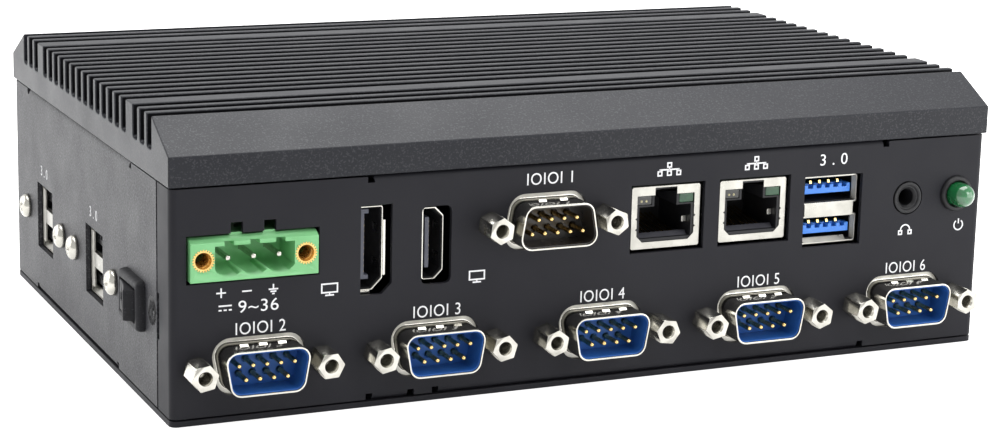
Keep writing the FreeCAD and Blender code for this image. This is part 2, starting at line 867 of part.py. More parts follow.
def lan_housing(x):
    """Black moulding inside the shield: plug cavity, latch channel and two light seats."""
    front = lan_front + lan_wall
    width = lan_width - 2 * lan_wall
    body = centred(x, front, lan_front + lan_depth, lan_height, width, lan_tall - 2 * lan_wall)
    half = lan_cavity_width / 2
    cavity = block(x - half, x + half, front - 1, front + lan_cavity_depth,
                   lan_height + lan_cavity_low, lan_height + lan_cavity_top)
    latch = block(x - lan_latch_width / 2, x + lan_latch_width / 2, front - 1,
                  front + lan_cavity_depth, lan_height, lan_height + lan_tall / 2 - lan_latch_roof)
    seats = [lan_light_block(x, side, front - 1, front + lan_light_depth) for side in (-1, 1)]
    return cut_all(body, [cavity, latch] + seats)


def lan_light_block(x, side, y0, y1):
    return block(x + side * lan_light_inner, x + side * lan_opening_half, y0, y1,
                 lan_height + lan_cavity_top + lan_light_floor, lan_height + lan_opening_top)


def lan_lights(side):
    """Small light windows in the upper corners, one for each socket."""
    front = lan_front + lan_wall
    return group([lan_light_block(x, side, front, front + lan_light_depth) for x in lan_places])


def lan_contacts():
    """Eight sloped spring contacts in each socket, from the floor to the rear wall."""
    floor = lan_height + lan_cavity_low
    start = lan_front + lan_wall + lan_contact_start
    end = lan_front + lan_wall + lan_cavity_depth
    rise = (end - start) * math.tan(math.radians(lan_contact_slope))
    profile = [(start, floor), (start + lan_contact_foot, floor), (end, floor + rise),
               (end, floor + rise + lan_contact_size)]
    solids = []
    for x in lan_places:
        for i in range(lan_contact_count):
            left = x + (i - (lan_contact_count - 1) / 2) * lan_contact_pitch - lan_contact_size / 2
            solids.append(prism([Vector(left, y, z) for y, z in profile], X * lan_contact_size))
    return group(solids)


# ---- stacked USB sockets --------------------------------------------------------------

usb_opening_tall = (usb_tall - 2 * usb_wall - usb_bar_tall) / 2
usb_opening_centre = (usb_bar_tall + usb_opening_tall) / 2


def usb_shell():
    """Folded steel shell of two stacked sockets, facing -Y about the origin."""
    inner = usb_width - 2 * usb_wall
    body = centred(0, 0, usb_depth, 0, usb_width, usb_tall)
    tools = [centred(0, -1, usb_depth + 1, side * usb_opening_centre, inner, usb_opening_tall)
             for side in (-1, 1)]
    tools.append(centred(0, usb_wall, usb_depth + 1, 0, inner, usb_bar_tall - 2 * usb_wall))
    return cut_all(body, tools)


def usb_tongues():
    """The two moulded tongues with the blocks that carry them, inside the shell."""
    solids = []
    for side in (-1, 1):
        z = side * usb_opening_centre
        back = usb_depth - usb_back_thickness
        block_width = usb_width - 2 * usb_wall - 0.1
        carrier = centred(0, back, usb_depth, z, block_width, usb_opening_tall - 0.1)
        tongue = centred(0, usb_tongue_recess, back, z, usb_tongue_width, usb_tongue_tall)
        solids.append(join(carrier, tongue))
    return group(solids)


def facing_front(shape):
    return shape.translated(Vector(usb_centre_x, y_front + usb_recess, usb_centre_height))


def facing_left(shape, y):
    turned = shape.copy()
    turned.rotate(Vector(0, 0, 0), Z, -90)
    return turned.translated(at_wall("left", y, side_usb_recess, side_usb_height))


def side_usb_brackets():
    """Moulded ears round each side socket, behind the wall, with a screw hole at each end."""
    solids = []
    for y in side_usb_centres:
        body = wall_block("left", y - bracket_width / 2, y + bracket_width / 2, sheet,
                          sheet + bracket_thickness, side_usb_height - bracket_tall / 2,
                          side_usb_height + bracket_tall / 2)
        half = usb_width / 2 + 0.05
        tools = [wall_block("left", y - half, y + half, 0, sheet + bracket_thickness + 1,
                            side_usb_height - usb_tall, side_usb_height + usb_tall)]
        for side in (-1, 1):
            spot = at_wall("left", y + side * side_usb_screw_spacing / 2, 0, side_usb_height)
            tools.append(shaft(panel_screw_shank, spot, X, sheet + bracket_thickness + 1))
        solids += cut_all(body, tools).Solids
    return group(solids)


def pan_screw(seat, outward, length):
    """A rounded head standing on its seat, and a shank that goes the other way."""
    head = turned([(pan_head_height * up, pan_head_radius * out) for up, out in pan_head_curve],
                  seat, outward, round_sides)
    shank = shaft(panel_screw_shank - thread_gap, seat, -outward, length)
    return join(head, shank)


def side_usb_screws():
    return group([pan_screw(at_wall("left", y, 0, side_usb_height), -X, sheet + bracket_thickness)
                  for y in side_usb_screw_places()])


# ---- upright video sockets ------------------------------------------------------------

def video_shell(x, size, chamfer, both):
    front = y_front + video_recess
    outer = on_front(video_outline(x, size, chamfer, both, 0), front)
    inner = on_front(video_outline(x, size, chamfer, both, -video_wall), front - 1)
    body = prism(outer, Y * video_depth)
    return body.cut(prism(inner, Y * (video_depth + 2)))


def video_tongue(x, size, chamfer, both, length, hooks):
    """Contact tongue along the left side and the moulded block that carries it."""
    front = y_front + video_recess
    back = front + video_depth - video_socket_back
    carrier = prism(on_front(video_outline(x, size, chamfer, both, -video_wall - 0.03), back),
                    Y * video_socket_back)
    left = x - size[0] / 2 + video_wall + video_tongue_side
    right = left + video_tongue_thickness
    shift = video_hook_shift if hooks else 0.0
    low, high = video_height - length / 2 + shift, video_height + length / 2 + shift
    face = front + video_tongue_recess
    bars = [block(left, right, face, back, low, high)]
    if hooks:
        for end in (low, high - video_tongue_thickness):
            bars.append(block(right, right + video_hook, face, back, end, end + video_tongue_thickness))
    return join(carrier, *bars)


# ---- sound socket and power light -----------------------------------------------------

def audio_socket():
    front = Vector(audio_x, y_front - audio_proud, audio_height)
    ring = shaft(audio_ring_radius, front, Y, sheet + audio_proud, lamp_sides)
    body = centred(audio_x, panel_back, panel_back + audio_bore_length, audio_height,
                   audio_body_width, audio_body_tall)
    bore = rod(audio_bore_radius, front - Y, Y, audio_bore_length + 1)
    return join(ring, body).cut(bore)


def light_holder():
    """Black ring that clips into the panel and holds the lamp."""
    front = Vector(light_x, y_front - light_holder_proud, light_height)
    ring = shaft(light_holder_radius, front, Y, light_holder_proud, lamp_sides)
    neck = shaft(light_neck_radius, Vector(light_x, y_front, light_height), Y, sheet + light_lip,
                 lamp_sides)
    lip = turned([(0, light_neck_radius + light_lip_spread), (light_lip, light_neck_radius)],
                 Vector(light_x, panel_back + slide_gap, light_height), Y, lamp_sides)
    bore = shaft(light_radius + 0.05, front - Y, Y, light_holder_proud + sheet + light_lip + 2,
                 lamp_sides)
    return join(ring, neck, lip).cut(bore)


def light_lens():
    """Domed lamp: a round stem that ends in a half ball."""
    tip = Vector(light_x, y_front - light_proud, light_height)
    stations = []
    for degrees in (15, 35, 55, 75, 90):
        angle = math.radians(degrees)
        stations.append((light_radius * (1 - math.cos(angle)), light_radius * math.sin(angle)))
    stations.append((light_proud + sheet + light_lip + 0.5, light_radius))
    return turned(stations, tip, Y, lamp_sides)


# ---- power header ---------------------------------------------------------------------

header_front = y_front - header_proud


def header_pin_places():
    middle = (header_pin_count - 1) / 2
    return [header_x + (i - middle) * header_pitch for i in range(header_pin_count)]


def power_header():
    """Moulded header: scalloped cavity, notched roof, two lugs and two flanged ends."""
    half = header_tall / 2
    top = header_height + half
    back = header_front + header_depth
    section = [(header_front, header_height - half), (header_front, top - header_chamfer),
               (header_front + 2 * header_chamfer, top), (back, top), (back, header_height - half)]
    body = prism([Vector(header_x - header_width / 2, y, z) for y, z in section], X * header_width)
    lugs = [centred(x, header_front + 2 * header_chamfer, back, top, header_lug_width,
                    2 * header_lug_tall) for x in header_slot_places()]
    body = join(body, *lugs)
    floor = header_front + header_cavity_depth
    roof = header_height + header_cavity_top
    scallop = header_pitch / 2 + header_scallop_overlap
    tools = [block(header_x - header_cavity_width / 2, header_x + header_cavity_width / 2,
                   header_front - 1, floor,
                   header_height - header_floor_drop, roof)]
    for x in header_pin_places():
        axis = Vector(x, header_front - 1, header_height - header_cavity_bottom + scallop)
        tools.append(shaft(scallop, axis, Y, header_cavity_depth + 1, round_sides))
        tools.append(block(x - header_notch_width / 2, x + header_notch_width / 2, header_front - 1,
                           header_front + header_notch_depth, header_height, top + 1))
        tools.append(centred(x, floor - 1, back + 1, header_height, header_pin_size, header_pin_size))
    for side in (-1, 1):
        axis = Vector(header_x + side * insert_spacing / 2, header_front - 1, header_height)
        tools.append(shaft(insert_radius, axis, Y, insert_length + 1, round_sides))
    return cut_all(body, tools)


def power_pins():
    """Square pins, bent up behind the header to reach the mainboard."""
    solids = []
    tip = header_front + header_pin_recess
    bend = header_front + header_depth + power_pin_bend
    half = header_pin_size / 2
    for x in header_pin_places():
        section = [(tip, header_height - half), (tip, header_height + half),
                   (bend, header_height + half), (bend, mainboard_low),
                   (bend + header_pin_size, mainboard_low),
                   (bend + header_pin_size, header_height - half)]
        solids.append(prism([Vector(x - half, y, z) for y, z in section], X * header_pin_size))
    return group(solids)


def power_inserts():
    """Brass threaded inserts in the header's ends."""
    solids = []
    for side in (-1, 1):
        start = Vector(header_x + side * insert_spacing / 2, header_front, header_height)
        sleeve = shaft(insert_radius, start, Y, insert_length, round_sides)
        solids.append(sleeve.cut(rod(insert_bore_radius, start - Y, Y, insert_length + 2)))
    return group(solids)


# ---- rocker switch --------------------------------------------------------------------

def switch_length():
    return 2 * (rocker_radius + rocker_gap + switch_body_wall)


def switch_tall():
    return rocker_width + 2 * rocker_gap + 2 * (switch_body_wall + trunnion_length)


def rocker_pivot():
    return at_wall("left", rocker_y, -rocker_pivot_out, rocker_height)


def switch_housing():
    """Bezel on the wall, body behind it, and the pocket that the rocker turns in."""
    half_l, half_t = bezel_length / 2, bezel_tall / 2
    corners = [(-half_l, -half_t), (-half_l, half_t), (half_l, half_t), (half_l, -half_t)]
    points = [at_wall("left", rocker_y + a, 0, rocker_height + b) for a, b in corners]
    bezel = prism(points, -X * bezel_proud, [bezel_corner] * 4, 2)
    face_x = x_left - bezel_proud
    rim = [edge for edge in bezel.Edges
           if abs(edge.BoundBox.XMin - face_x) < 1e-6 and abs(edge.BoundBox.XMax - face_x) < 1e-6]
    bezel = bezel.makeChamfer(bezel_chamfer, rim)
    length, tall = switch_length(), switch_tall()
    body = wall_block("left", rocker_y - length / 2, rocker_y + length / 2, 0, switch_body_depth,
                      rocker_height - tall / 2, rocker_height + tall / 2)
    pocket_l = rocker_radius + rocker_gap
    pocket_t = rocker_width / 2 + rocker_gap
    pocket = wall_block("left", rocker_y - pocket_l, rocker_y + pocket_l, -bezel_proud - 1,
                        switch_body_depth - pocket_floor,
                        rocker_height - pocket_t, rocker_height + pocket_t)
    reach = rocker_width / 2 + trunnion_length + trunnion_gap
    axle = shaft(trunnion_radius + trunnion_gap, rocker_pivot() - Z * reach, Z, 2 * reach,
                 round_sides)
    return cut_all(join(bezel, body), [pocket, axle])


def rocker():
    """Rocker with round ends and a dished face, stored with its front end out."""
    pivot = rocker_pivot()
    rise = math.radians(rocker_corner_angle)
    along, out = rocker_radius * math.cos(rise), rocker_radius * math.sin(rise)
    below = math.asin(rocker_skirt * rocker_end_share / rocker_radius)
    low_along, low_out = rocker_radius * math.cos(below), -rocker_radius * math.sin(below)

    def spot(v, h):
        return pivot + Y * v - X * h - Z * (rocker_width / 2)

    edges = [Part.Arc(spot(-along, out), spot(0, out - rocker_face_dip), spot(along, out)).toShape(),
             Part.Arc(spot(along, out), spot(rocker_radius, 0), spot(low_along, low_out)).toShape(),
             Part.makeLine(spot(low_along, low_out), spot(-low_along, low_out)),
             Part.Arc(spot(-low_along, low_out), spot(-rocker_radius, 0), spot(-along, out)).toShape()]
    body = Part.Face(Part.Wire(edges)).extrude(Z * rocker_width)
    reach = rocker_width / 2 + trunnion_length
    axle = shaft(trunnion_radius, pivot - Z * reach, Z, 2 * reach, round_sides)
    body = join(body, axle)
    body.rotate(pivot, Z, -rocker_throw / 2)
    return body


def switch_terminals():
    length, thickness, tall = terminal_size
    solids = []
    for side in (-1, 1):
        y = rocker_y + side * terminal_spacing / 2
        solids.append(wall_block("left", y - thickness / 2, y + thickness / 2, switch_body_depth,
                                 switch_body_depth + length, rocker_height - tall / 2,
                                 rocker_height + tall / 2))
    return group(solids)


# ---- boards and inner parts -----------------------------------------------------------

def io_board_screw_places():
    back = board_front + io_board_depth - io_board_screw_inset
    return [(x, back) for x in (-io_board_screw_offset, io_board_screw_offset)]


def board(y0, y1, low, places):
    half = x_right - sheet - board_margin
    body = block(-half, half, y0, y1, low, low + board_thickness)
    return cut_all(body, [shaft(board_hole_radius, Vector(x, y, low - 1), Z, board_thickness + 2)
                          for x, y in places])


def mainboard():
    return board(board_front, y_rear - sheet - board_margin, mainboard_low, mainboard_screw_places())


def io_board():
    return board(board_front, board_front + io_board_depth, io_board_low, io_board_screw_places())


def board_spacers():
    """Hexagon spacers: four hang the mainboard, four carry the port board."""
    solids = []
    for places, low, high in ((mainboard_screw_places(), mainboard_top, seam_height),
                              (io_board_screw_places(), cover_sheet, io_board_low)):
        for x, y in places:
            bar = shaft(spacer_across_flats / 2, Vector(x, y, low), Z, high - low, 6)
            bore = shaft(board_hole_radius, Vector(x, y, low - 1), Z, high - low + 2)
            solids.append(bar.cut(bore))
    return group(solids)


def board_screws():
    """Machine screws: up through the mainboard, and down through the port board."""
    solids = []
    for x, y in mainboard_screw_places():
        head = shaft(board_screw_head_radius, Vector(x, y, mainboard_low - board_screw_head), Z,
                     board_screw_head)
        length = seam_height - mainboard_low + board_screw_grip
        shank = shaft(panel_screw_shank - thread_gap, Vector(x, y, mainboard_low), Z, length)
        solids.append(join(head, shank))
    for x, y in io_board_screw_places():
        head = shaft(board_screw_head_radius, Vector(x, y, io_board_top), Z, board_screw_head)
        shank = shaft(panel_screw_shank - thread_gap, Vector(x, y, 0.2), Z, io_board_top - 0.2)
        solids.append(join(head, shank))
    return group(solids)


def processor():
    width, depth, tall = processor_size
    cx, cy = processor_centre
    return block(cx - width / 2, cx + width / 2, cy - depth / 2, cy + depth / 2,
                 mainboard_top, mainboard_top + tall)


def thermal_pad():
    width, depth, tall = processor_size
    cx, cy = processor_centre
    low = mainboard_top + tall
    return block(cx - width / 2, cx + width / 2, cy - depth / 2, cy + depth / 2,
                 low, low + pad_thickness)


def hung(x, y, size, drop=0.0):
    """A block under the mainboard, centred on x and y."""
    width, depth, tall = size
    high = mainboard_low - drop
    return block(x - width / 2, x + width / 2, y - depth / 2, y + depth / 2, high - tall, high)


def memory_socket():
    width, depth, tall = memory_module_size
    body = hung(0, memory_y, memory_socket_size)
    return body.cut(hung(0, memory_y - memory_socket_size[1] / 2, (width, slot_length, tall), memory_drop))


def memory_module():
    """A plate with four chips underneath, its rear edge in the socket's slot."""
    width, depth, tall = memory_module_size
    edge = memory_y - memory_socket_size[1] / 2 + module_grip
    middle = edge - depth / 2
    plate = hung(0, middle, memory_module_size, memory_drop)
    chips = [hung((i - 1.5) * memory_chip_pitch, middle - module_grip, memory_chip_size, memory_drop + tall)
             for i in range(4)]
    return join(plate, *chips)


def storage_socket():
    slot = (storage_tongue[0], slot_length, storage_size[2])
    body = hung(storage_x, memory_y, storage_socket_size)
    return body.cut(hung(storage_x, memory_y - storage_socket_size[1] / 2, slot, storage_drop))


def storage_module():
    """A plate with two chips underneath and a narrower tongue in the socket's slot."""
    width, depth, tall = storage_size
    edge = memory_y - storage_socket_size[1] / 2 + module_grip
    tongue = hung(storage_x, edge - storage_tongue[1] / 2, (*storage_tongue, tall), storage_drop)
    plate = hung(storage_x, edge - module_grip - depth / 2, storage_size, storage_drop)
    chips = [hung(storage_x, edge - y, storage_chip_size, storage_drop + tall) for y in storage_chip_places]
    return join(tongue, plate, *chips)


def link_header():
    """Stacked connector that joins the two boards."""
    width, depth = link_header_size
    y = board_front + io_board_depth - depth / 2 - link_header_margin
    return block(-width / 2, width / 2, y - depth / 2, y + depth / 2, io_board_top, mainboard_low)


def clock_cell():
    """Coin cell with soldered tabs, under the mainboard."""
    x, y = cell_place
    return shaft(cell_radius, Vector(x, y, mainboard_low - cell_thickness), Z, cell_thickness,
                 round_sides)


# ---- write one file for each piece ------------------------------------------------------

def pieces():
    one = (video_one_x, video_one_size, video_one_chamfer, False)
    two = (video_two_x, video_two_size, video_two_chamfer, True)
    named = {
        "heat_sink": heat_sink(),
        "front_panel": front_panel(),
        "side_and_rear_panel": side_and_rear_panel(),
        "bottom_cover": bottom_cover(),
        "heat_sink_screws": heat_sink_screws(),
        "panel_screws": panel_screws(),
        "cover_screws": cover_screws(),
        "serial_pins": serial_pins(),
        "serial_jackscrews": serial_jackscrews(),
        "lan_contacts": lan_contacts(),
        "lan_link_lights": lan_lights(-1),
        "lan_activity_lights": lan_lights(1),
        "usb_shell": facing_front(usb_shell()),
        "usb_tongues": facing_front(usb_tongues()),
        "side_usb_brackets": side_usb_brackets(),
        "side_usb_screws": side_usb_screws(),
        "video_shell_1": video_shell(*one),
        "video_tongue_1": video_tongue(*one, video_one_tongue, True),
        "video_shell_2": video_shell(*two),
        "video_tongue_2": video_tongue(*two, video_two_tongue, False),
        "audio_socket": audio_socket(),
        "light_holder": light_holder(),
        "light_lens": light_lens(),
        "power_header": power_header(),
        "power_pins": power_pins(),
        "power_inserts": power_inserts(),
        "switch_housing": switch_housing(),
        "rocker": rocker(),
        "switch_terminals": switch_terminals(),
        "mainboard": mainboard(),
        "io_board": io_board(),
        "board_spacers": board_spacers(),
        "board_screws": board_screws(),
        "processor": processor(),
        "thermal_pad": thermal_pad(),
        "memory_socket": memory_socket(),
        "memory_module": memory_module(),
        "storage_socket": storage_socket(),
        "storage_module": storage_module(),
        "link_header": link_header(),
        "clock_cell": clock_cell(),
    }
    for number, place in enumerate(serial_places, 1):
        named["serial_shell_%d" % number] = serial_shell(place)
        named["serial_insulator_%d" % number] = serial_insulator(place)
    for number, x in enumerate(lan_places, 1):
        named["lan_shield_%d" % number] = lan_shield(x)
        named["lan_housing_%d" % number] = lan_housing(x)
    for number, y in enumerate(side_usb_centres, 1):
        named["side_usb_shell_%d" % number] = facing_left(usb_shell(), y)
    named["side_usb_tongues"] = group([facing_left(solid, y) for y in side_usb_centres
                                       for solid in usb_tongues().Solids])
    return named


os.makedirs("parts", exist_ok=True)
for name, shape in pieces().items():
    shape.exportStep("parts/%s.step" % name)
    print("%-22s %2d solids %10.1f mm3" % (name, len(shape.Solids), shape.Volume))
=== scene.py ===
import json
import math

import bmesh
import bpy
from mathutils import Matrix, Vector


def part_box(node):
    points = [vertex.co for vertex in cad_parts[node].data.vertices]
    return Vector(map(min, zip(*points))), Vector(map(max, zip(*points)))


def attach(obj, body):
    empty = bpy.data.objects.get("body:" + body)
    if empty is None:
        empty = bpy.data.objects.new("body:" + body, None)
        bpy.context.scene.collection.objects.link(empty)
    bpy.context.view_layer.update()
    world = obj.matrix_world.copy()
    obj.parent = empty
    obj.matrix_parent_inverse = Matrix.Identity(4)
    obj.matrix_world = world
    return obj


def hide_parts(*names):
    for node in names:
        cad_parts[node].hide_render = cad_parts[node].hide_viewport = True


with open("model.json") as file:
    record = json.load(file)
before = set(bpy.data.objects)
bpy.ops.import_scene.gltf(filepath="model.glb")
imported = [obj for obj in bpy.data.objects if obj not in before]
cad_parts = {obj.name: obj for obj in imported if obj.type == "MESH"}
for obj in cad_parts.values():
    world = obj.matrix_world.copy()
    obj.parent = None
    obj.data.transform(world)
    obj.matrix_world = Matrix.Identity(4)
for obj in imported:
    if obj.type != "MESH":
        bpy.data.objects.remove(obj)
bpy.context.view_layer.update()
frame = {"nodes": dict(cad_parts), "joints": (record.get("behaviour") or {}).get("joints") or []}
mm = 0.001

# places that the folded case gives
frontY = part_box("front_panel")[0].y
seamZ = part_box("front_panel")[1].z
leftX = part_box("side_and_rear_panel")[0].x
sheet = 1.0 * mm
panelBack = frontY + sheet


def middle(node):
    low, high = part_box(node)
    return (low + high) / 2


# finishes

def newFinish(name):
    material = bpy.data.materials.new(name)
    material.use_nodes = True
    nodes, links = material.node_tree.nodes, material.node_tree.links
    surface = nodes["Principled BSDF"]
    spot = nodes.new("ShaderNodeTexCoord")
    return material, nodes, links, surface, spot.outputs["Object"]


def noiseOf(nodes, links, spot, size, detail=2.0):
    noise = nodes.new("ShaderNodeTexNoise")      # size is one feature's width, in mm
    noise.inputs["Scale"].default_value = 1 / (size * mm)
    noise.inputs["Detail"].default_value = detail
    links.new(spot, noise.inputs["Vector"])
    return noise.outputs["Fac"]


def stretched(nodes, links, value, low, high, toLow=0.0, toHigh=1.0):
    ranger = nodes.new("ShaderNodeMapRange")
    for label, number in (("From Min", low), ("From Max", high), ("To Min", toLow), ("To Max", toHigh)):
        ranger.inputs[label].default_value = number
    links.new(value, ranger.inputs["Value"])
    return ranger.outputs["Result"]


def blended(nodes, links, amount, first, second):
    mix = nodes.new("ShaderNodeMix")
    mix.data_type = "RGBA"
    links.new(amount, mix.inputs["Factor"])
    for socket, colour in ((mix.inputs["A"], first), (mix.inputs["B"], second)):
        if isinstance(colour, bpy.types.NodeSocket):
            links.new(colour, socket)
        else:
            socket.default_value = (*colour, 1.0)
    return mix.outputs["Result"]


def finish(name, dark, light, patch=12.0, rough=(0.3, 0.4), metal=0.0, grain=None, flecks=None, **sockets):
    # dark and light are the two ends of the colour's drift over patches of that many mm
    material, nodes, links, surface, spot = newFinish(name)
    drift = stretched(nodes, links, noiseOf(nodes, links, spot, patch, 3.0), 0.3, 0.7)
    colour = blended(nodes, links, drift, dark, light)
    if flecks:
        size, threshold, tone = flecks
        fleck = stretched(nodes, links, noiseOf(nodes, links, spot, size, 1.0), threshold, threshold + 0.08)
        colour = blended(nodes, links, fleck, colour, tone)
    links.new(colour, surface.inputs["Base Color"])
    worn = noiseOf(nodes, links, spot, patch * 0.4, 4.0)
    links.new(stretched(nodes, links, worn, 0.3, 0.7, *rough), surface.inputs["Roughness"])
    surface.inputs["Metallic"].default_value = metal
    if grain:
        size, depth = grain
        bump = nodes.new("ShaderNodeBump")
        bump.inputs["Distance"].default_value = depth * mm
        links.new(noiseOf(nodes, links, spot, size, 2.0), bump.inputs["Height"])
        links.new(bump.outputs["Normal"], surface.inputs["Normal"])
    for label, value in sockets.items():
        surface.inputs[label.replace("_", " ")].default_value = value
    return material


finishes = {
    "dark_aluminium": finish("blackAnodising", (0.011, 0.012, 0.016), (0.015, 0.016, 0.02), patch=30,
                             rough=(0.34, 0.42), grain=(0.35, 0.03),
                             flecks=(0.4, 0.57, (0.034, 0.035, 0.04)), Specular_IOR_Level=0.19),
    "charcoal_coating": finish("charcoalPowderCoat", (0.0115, 0.0115, 0.015), (0.014, 0.014, 0.0175),
                               patch=18, rough=(0.46, 0.54), grain=(0.4, 0.012), Specular_IOR_Level=0.15),
    "black_steel": finish("blackOxideSteel", (0.02, 0.02, 0.022), (0.035, 0.035, 0.037), patch=3,
                          rough=(0.22, 0.34), metal=0.6, grain=(0.3, 0.01)),
    "plated_steel": finish("nickelPlatedSteel", (0.4, 0.388, 0.35), (0.54, 0.525, 0.478), patch=2.5,
                           rough=(0.16, 0.26), metal=1.0, grain=(0.6, 0.0015)),
    "bright_nickel": finish("brightNickel", (0.48, 0.467, 0.425), (0.6, 0.585, 0.535), patch=3,
                            rough=(0.1, 0.18), metal=1.0, grain=(1.2, 0.0015)),
    "gold_contact": finish("goldFlash", (0.66, 0.46, 0.17), (0.78, 0.58, 0.26), patch=1.2,
                           rough=(0.16, 0.26), metal=1.0),
    "brass": finish("turnedBrass", (0.56, 0.35, 0.11), (0.68, 0.46, 0.18), patch=1.5,
                    rough=(0.2, 0.34), metal=1.0, grain=(0.25, 0.008)),
    "blue_moulding": finish("blueMoulding", (0.016, 0.09, 0.34), (0.022, 0.112, 0.4), patch=4,
                            rough=(0.34, 0.46), grain=(0.3, 0.006), Specular_IOR_Level=0.3),
    "bright_blue_moulding": finish("brightBlueMoulding", (0.035, 0.20, 0.70), (0.05, 0.24, 0.78), patch=3,
                                   rough=(0.28, 0.38), grain=(0.3, 0.006)),
    "black_moulding": finish("blackMoulding", (0.01, 0.01, 0.011), (0.016, 0.016, 0.018), patch=4,
                             rough=(0.36, 0.48), grain=(0.25, 0.01), Specular_IOR_Level=0.25),
    "green_moulding": finish("greenMoulding", (0.17, 0.47, 0.19), (0.20, 0.53, 0.225), patch=5,
                             rough=(0.32, 0.44), grain=(0.35, 0.006)),
    "clear_lens": finish("milkyLens", (0.02, 0.02, 0.019), (0.04, 0.039, 0.035), patch=1.5,
                         rough=(0.1, 0.2)),
    "green_lens": finish("greenLamp", (0.006, 0.11, 0.03), (0.014, 0.17, 0.05), patch=3,
                         rough=(0.04, 0.09), Coat_Weight=1.0, Coat_Roughness=0.03),
    "bright_green_lens": finish("brightGreenLens", (0.01, 0.045, 0.02), (0.02, 0.085, 0.034), patch=1.5,
                                rough=(0.1, 0.2)),
    "board_laminate": finish("boardLaminate", (0.004, 0.022, 0.012), (0.006, 0.03, 0.016), patch=6,
                             rough=(0.3, 0.42), grain=(0.5, 0.01)),
    "pad_silicone": finish("padSilicone", (0.40, 0.40, 0.45), (0.48, 0.48, 0.52), patch=4,
                           rough=(0.6, 0.7), grain=(0.3, 0.02)),
}
# painted light: a lighter copy of the charcoal powder coat for the side and rear wrap, its raised colour
# standing in for the light on the left side; the flecks and coarser grain are the coat's own speckle
sideCoatingPaintedLight = finish("sidePowderCoat", (0.016, 0.016, 0.02), (0.021, 0.021, 0.025), patch=18,
                     rough=(0.44, 0.52), grain=(0.4, 0.12), flecks=(0.42, 0.54, (0.062, 0.062, 0.068)),
                     Specular_IOR_Level=0.3)
rockerFinish = finish("rockerPlastic", (0.012, 0.012, 0.014), (0.018, 0.018, 0.021), patch=3,
                      rough=(0.44, 0.56), grain=(0.35, 0.04), flecks=(0.35, 0.64, (0.04, 0.04, 0.045)),
                      Specular_IOR_Level=0.14)
brownMoulding = finish("darkMoulding", (0.012, 0.010, 0.009), (0.02, 0.016, 0.013), patch=4,
                       rough=(0.25, 0.38))
greyTongue = finish("greyTongue", (0.062, 0.066, 0.09), (0.078, 0.083, 0.11), patch=3, rough=(0.4, 0.5))
chipYellow = finish("chipYellow", (0.42, 0.38, 0.22), (0.52, 0.47, 0.28), patch=1, rough=(0.4, 0.5))
greySill = finish("greySill", (0.055, 0.055, 0.066), (0.07, 0.07, 0.082), patch=3, rough=(0.4, 0.5))
shieldTin = finish("shieldTin", (0.34, 0.332, 0.3), (0.44, 0.43, 0.392), patch=3, rough=(0.26, 0.36),
                   metal=0.85,
                   grain=(0.6, 0.002))
satinTin = finish("satinTin", (0.50, 0.49, 0.45), (0.62, 0.60, 0.55), patch=2, rough=(0.36, 0.48),
                  metal=0.5,
                  grain=(0.4, 0.008))
whiteInk = finish("whiteInk", (0.80, 0.80, 0.82), (0.86, 0.86, 0.88), patch=1.0, rough=(0.5, 0.6),
                  grain=(0.2, 0.004))
# painted shade: a near-black copy of the black anodising for the walls and floors deep in the fin slots,
# where shade falls
slotShade = finish("slotAnodising", (0.003, 0.003, 0.004), (0.005, 0.005, 0.006), patch=20,
                   rough=(0.5, 0.6),
                   grain=(0.35, 0.03), Specular_IOR_Level=0.05)
sideInk = finish("greyInk", (0.62, 0.62, 0.64), (0.72, 0.72, 0.74), patch=1.0, rough=(0.5, 0.6),
                 grain=(0.2, 0.004))

nodeSlots = {
    "dark_aluminium": ["heat_sink"],
    "charcoal_coating": ["front_panel", "side_and_rear_panel", "bottom_cover"],
    "black_steel": ["panel_screws", "cover_screws"],
    "plated_steel": ["heat_sink_screws", "side_usb_screws", "board_spacers", "board_screws",
                     "switch_terminals", "serial_jackscrews"],
    "bright_nickel": ["usb_shell", "video_shell_1", "video_shell_2", "clock_cell", "lan_shield_",
                      "serial_shell_", "side_usb_shell_"],
    "gold_contact": ["serial_pins", "lan_contacts", "power_pins"],
    "brass": ["power_inserts"],
    "blue_moulding": ["serial_insulator_"],
    "bright_blue_moulding": ["usb_tongues", "side_usb_tongues"],
    "black_moulding": ["video_tongue_", "audio_socket", "light_holder", "switch_housing", "rocker",
                       "memory_socket", "storage_socket", "link_header", "processor", "memory_module",
                       "storage_module", "lan_housing_", "side_usb_brackets"],
    "green_moulding": ["power_header"],
    "clear_lens": ["lan_link_lights"],
    "green_lens": ["light_lens"],
    "bright_green_lens": ["lan_activity_lights"],
    "board_laminate": ["mainboard", "io_board"],
    "pad_silicone": ["thermal_pad"],
}
for slotName, starts in nodeSlots.items():
    for node, solid in frame["nodes"].items():
        if any(node == start or (start.endswith("_") and node.startswith(start)) for start in starts):
            if solid.data.materials:
                for index, _ in enumerate(solid.data.materials):
                    solid.data.materials[index] = finishes[slotName]
            else:
                solid.data.materials.append(finishes[slotName])
            solid["finish"] = slotName
print("finishes made and given to the solids")


# makers

def linked(name, mesh):
    piece = bpy.data.objects.new(name, mesh)
    bpy.context.scene.collection.objects.link(piece)
    return piece


def fromShape(name, shape):
    mesh = bpy.data.meshes.new(name)
    shape.to_mesh(mesh)
    shape.free()
    return linked(name, mesh)


def newPiece(name, shape, place=None):
    if place is not None:
        shape.transform(place)
    bmesh.ops.remove_doubles(shape, verts=shape.verts, dist=1e-7)
    bmesh.ops.recalc_face_normals(shape, faces=shape.faces)
    return fromShape(name, shape)


def settle(piece):
    bpy.context.view_layer.update()
    graph = bpy.context.evaluated_depsgraph_get()
    made = bpy.data.meshes.new_from_object(piece.evaluated_get(graph), preserve_all_data_layers=True,
                                           depsgraph=graph)
    old = piece.data
    piece.modifiers.clear()
    piece.data = made
    bpy.data.meshes.remove(old)
    made.name = piece.name
    return piece


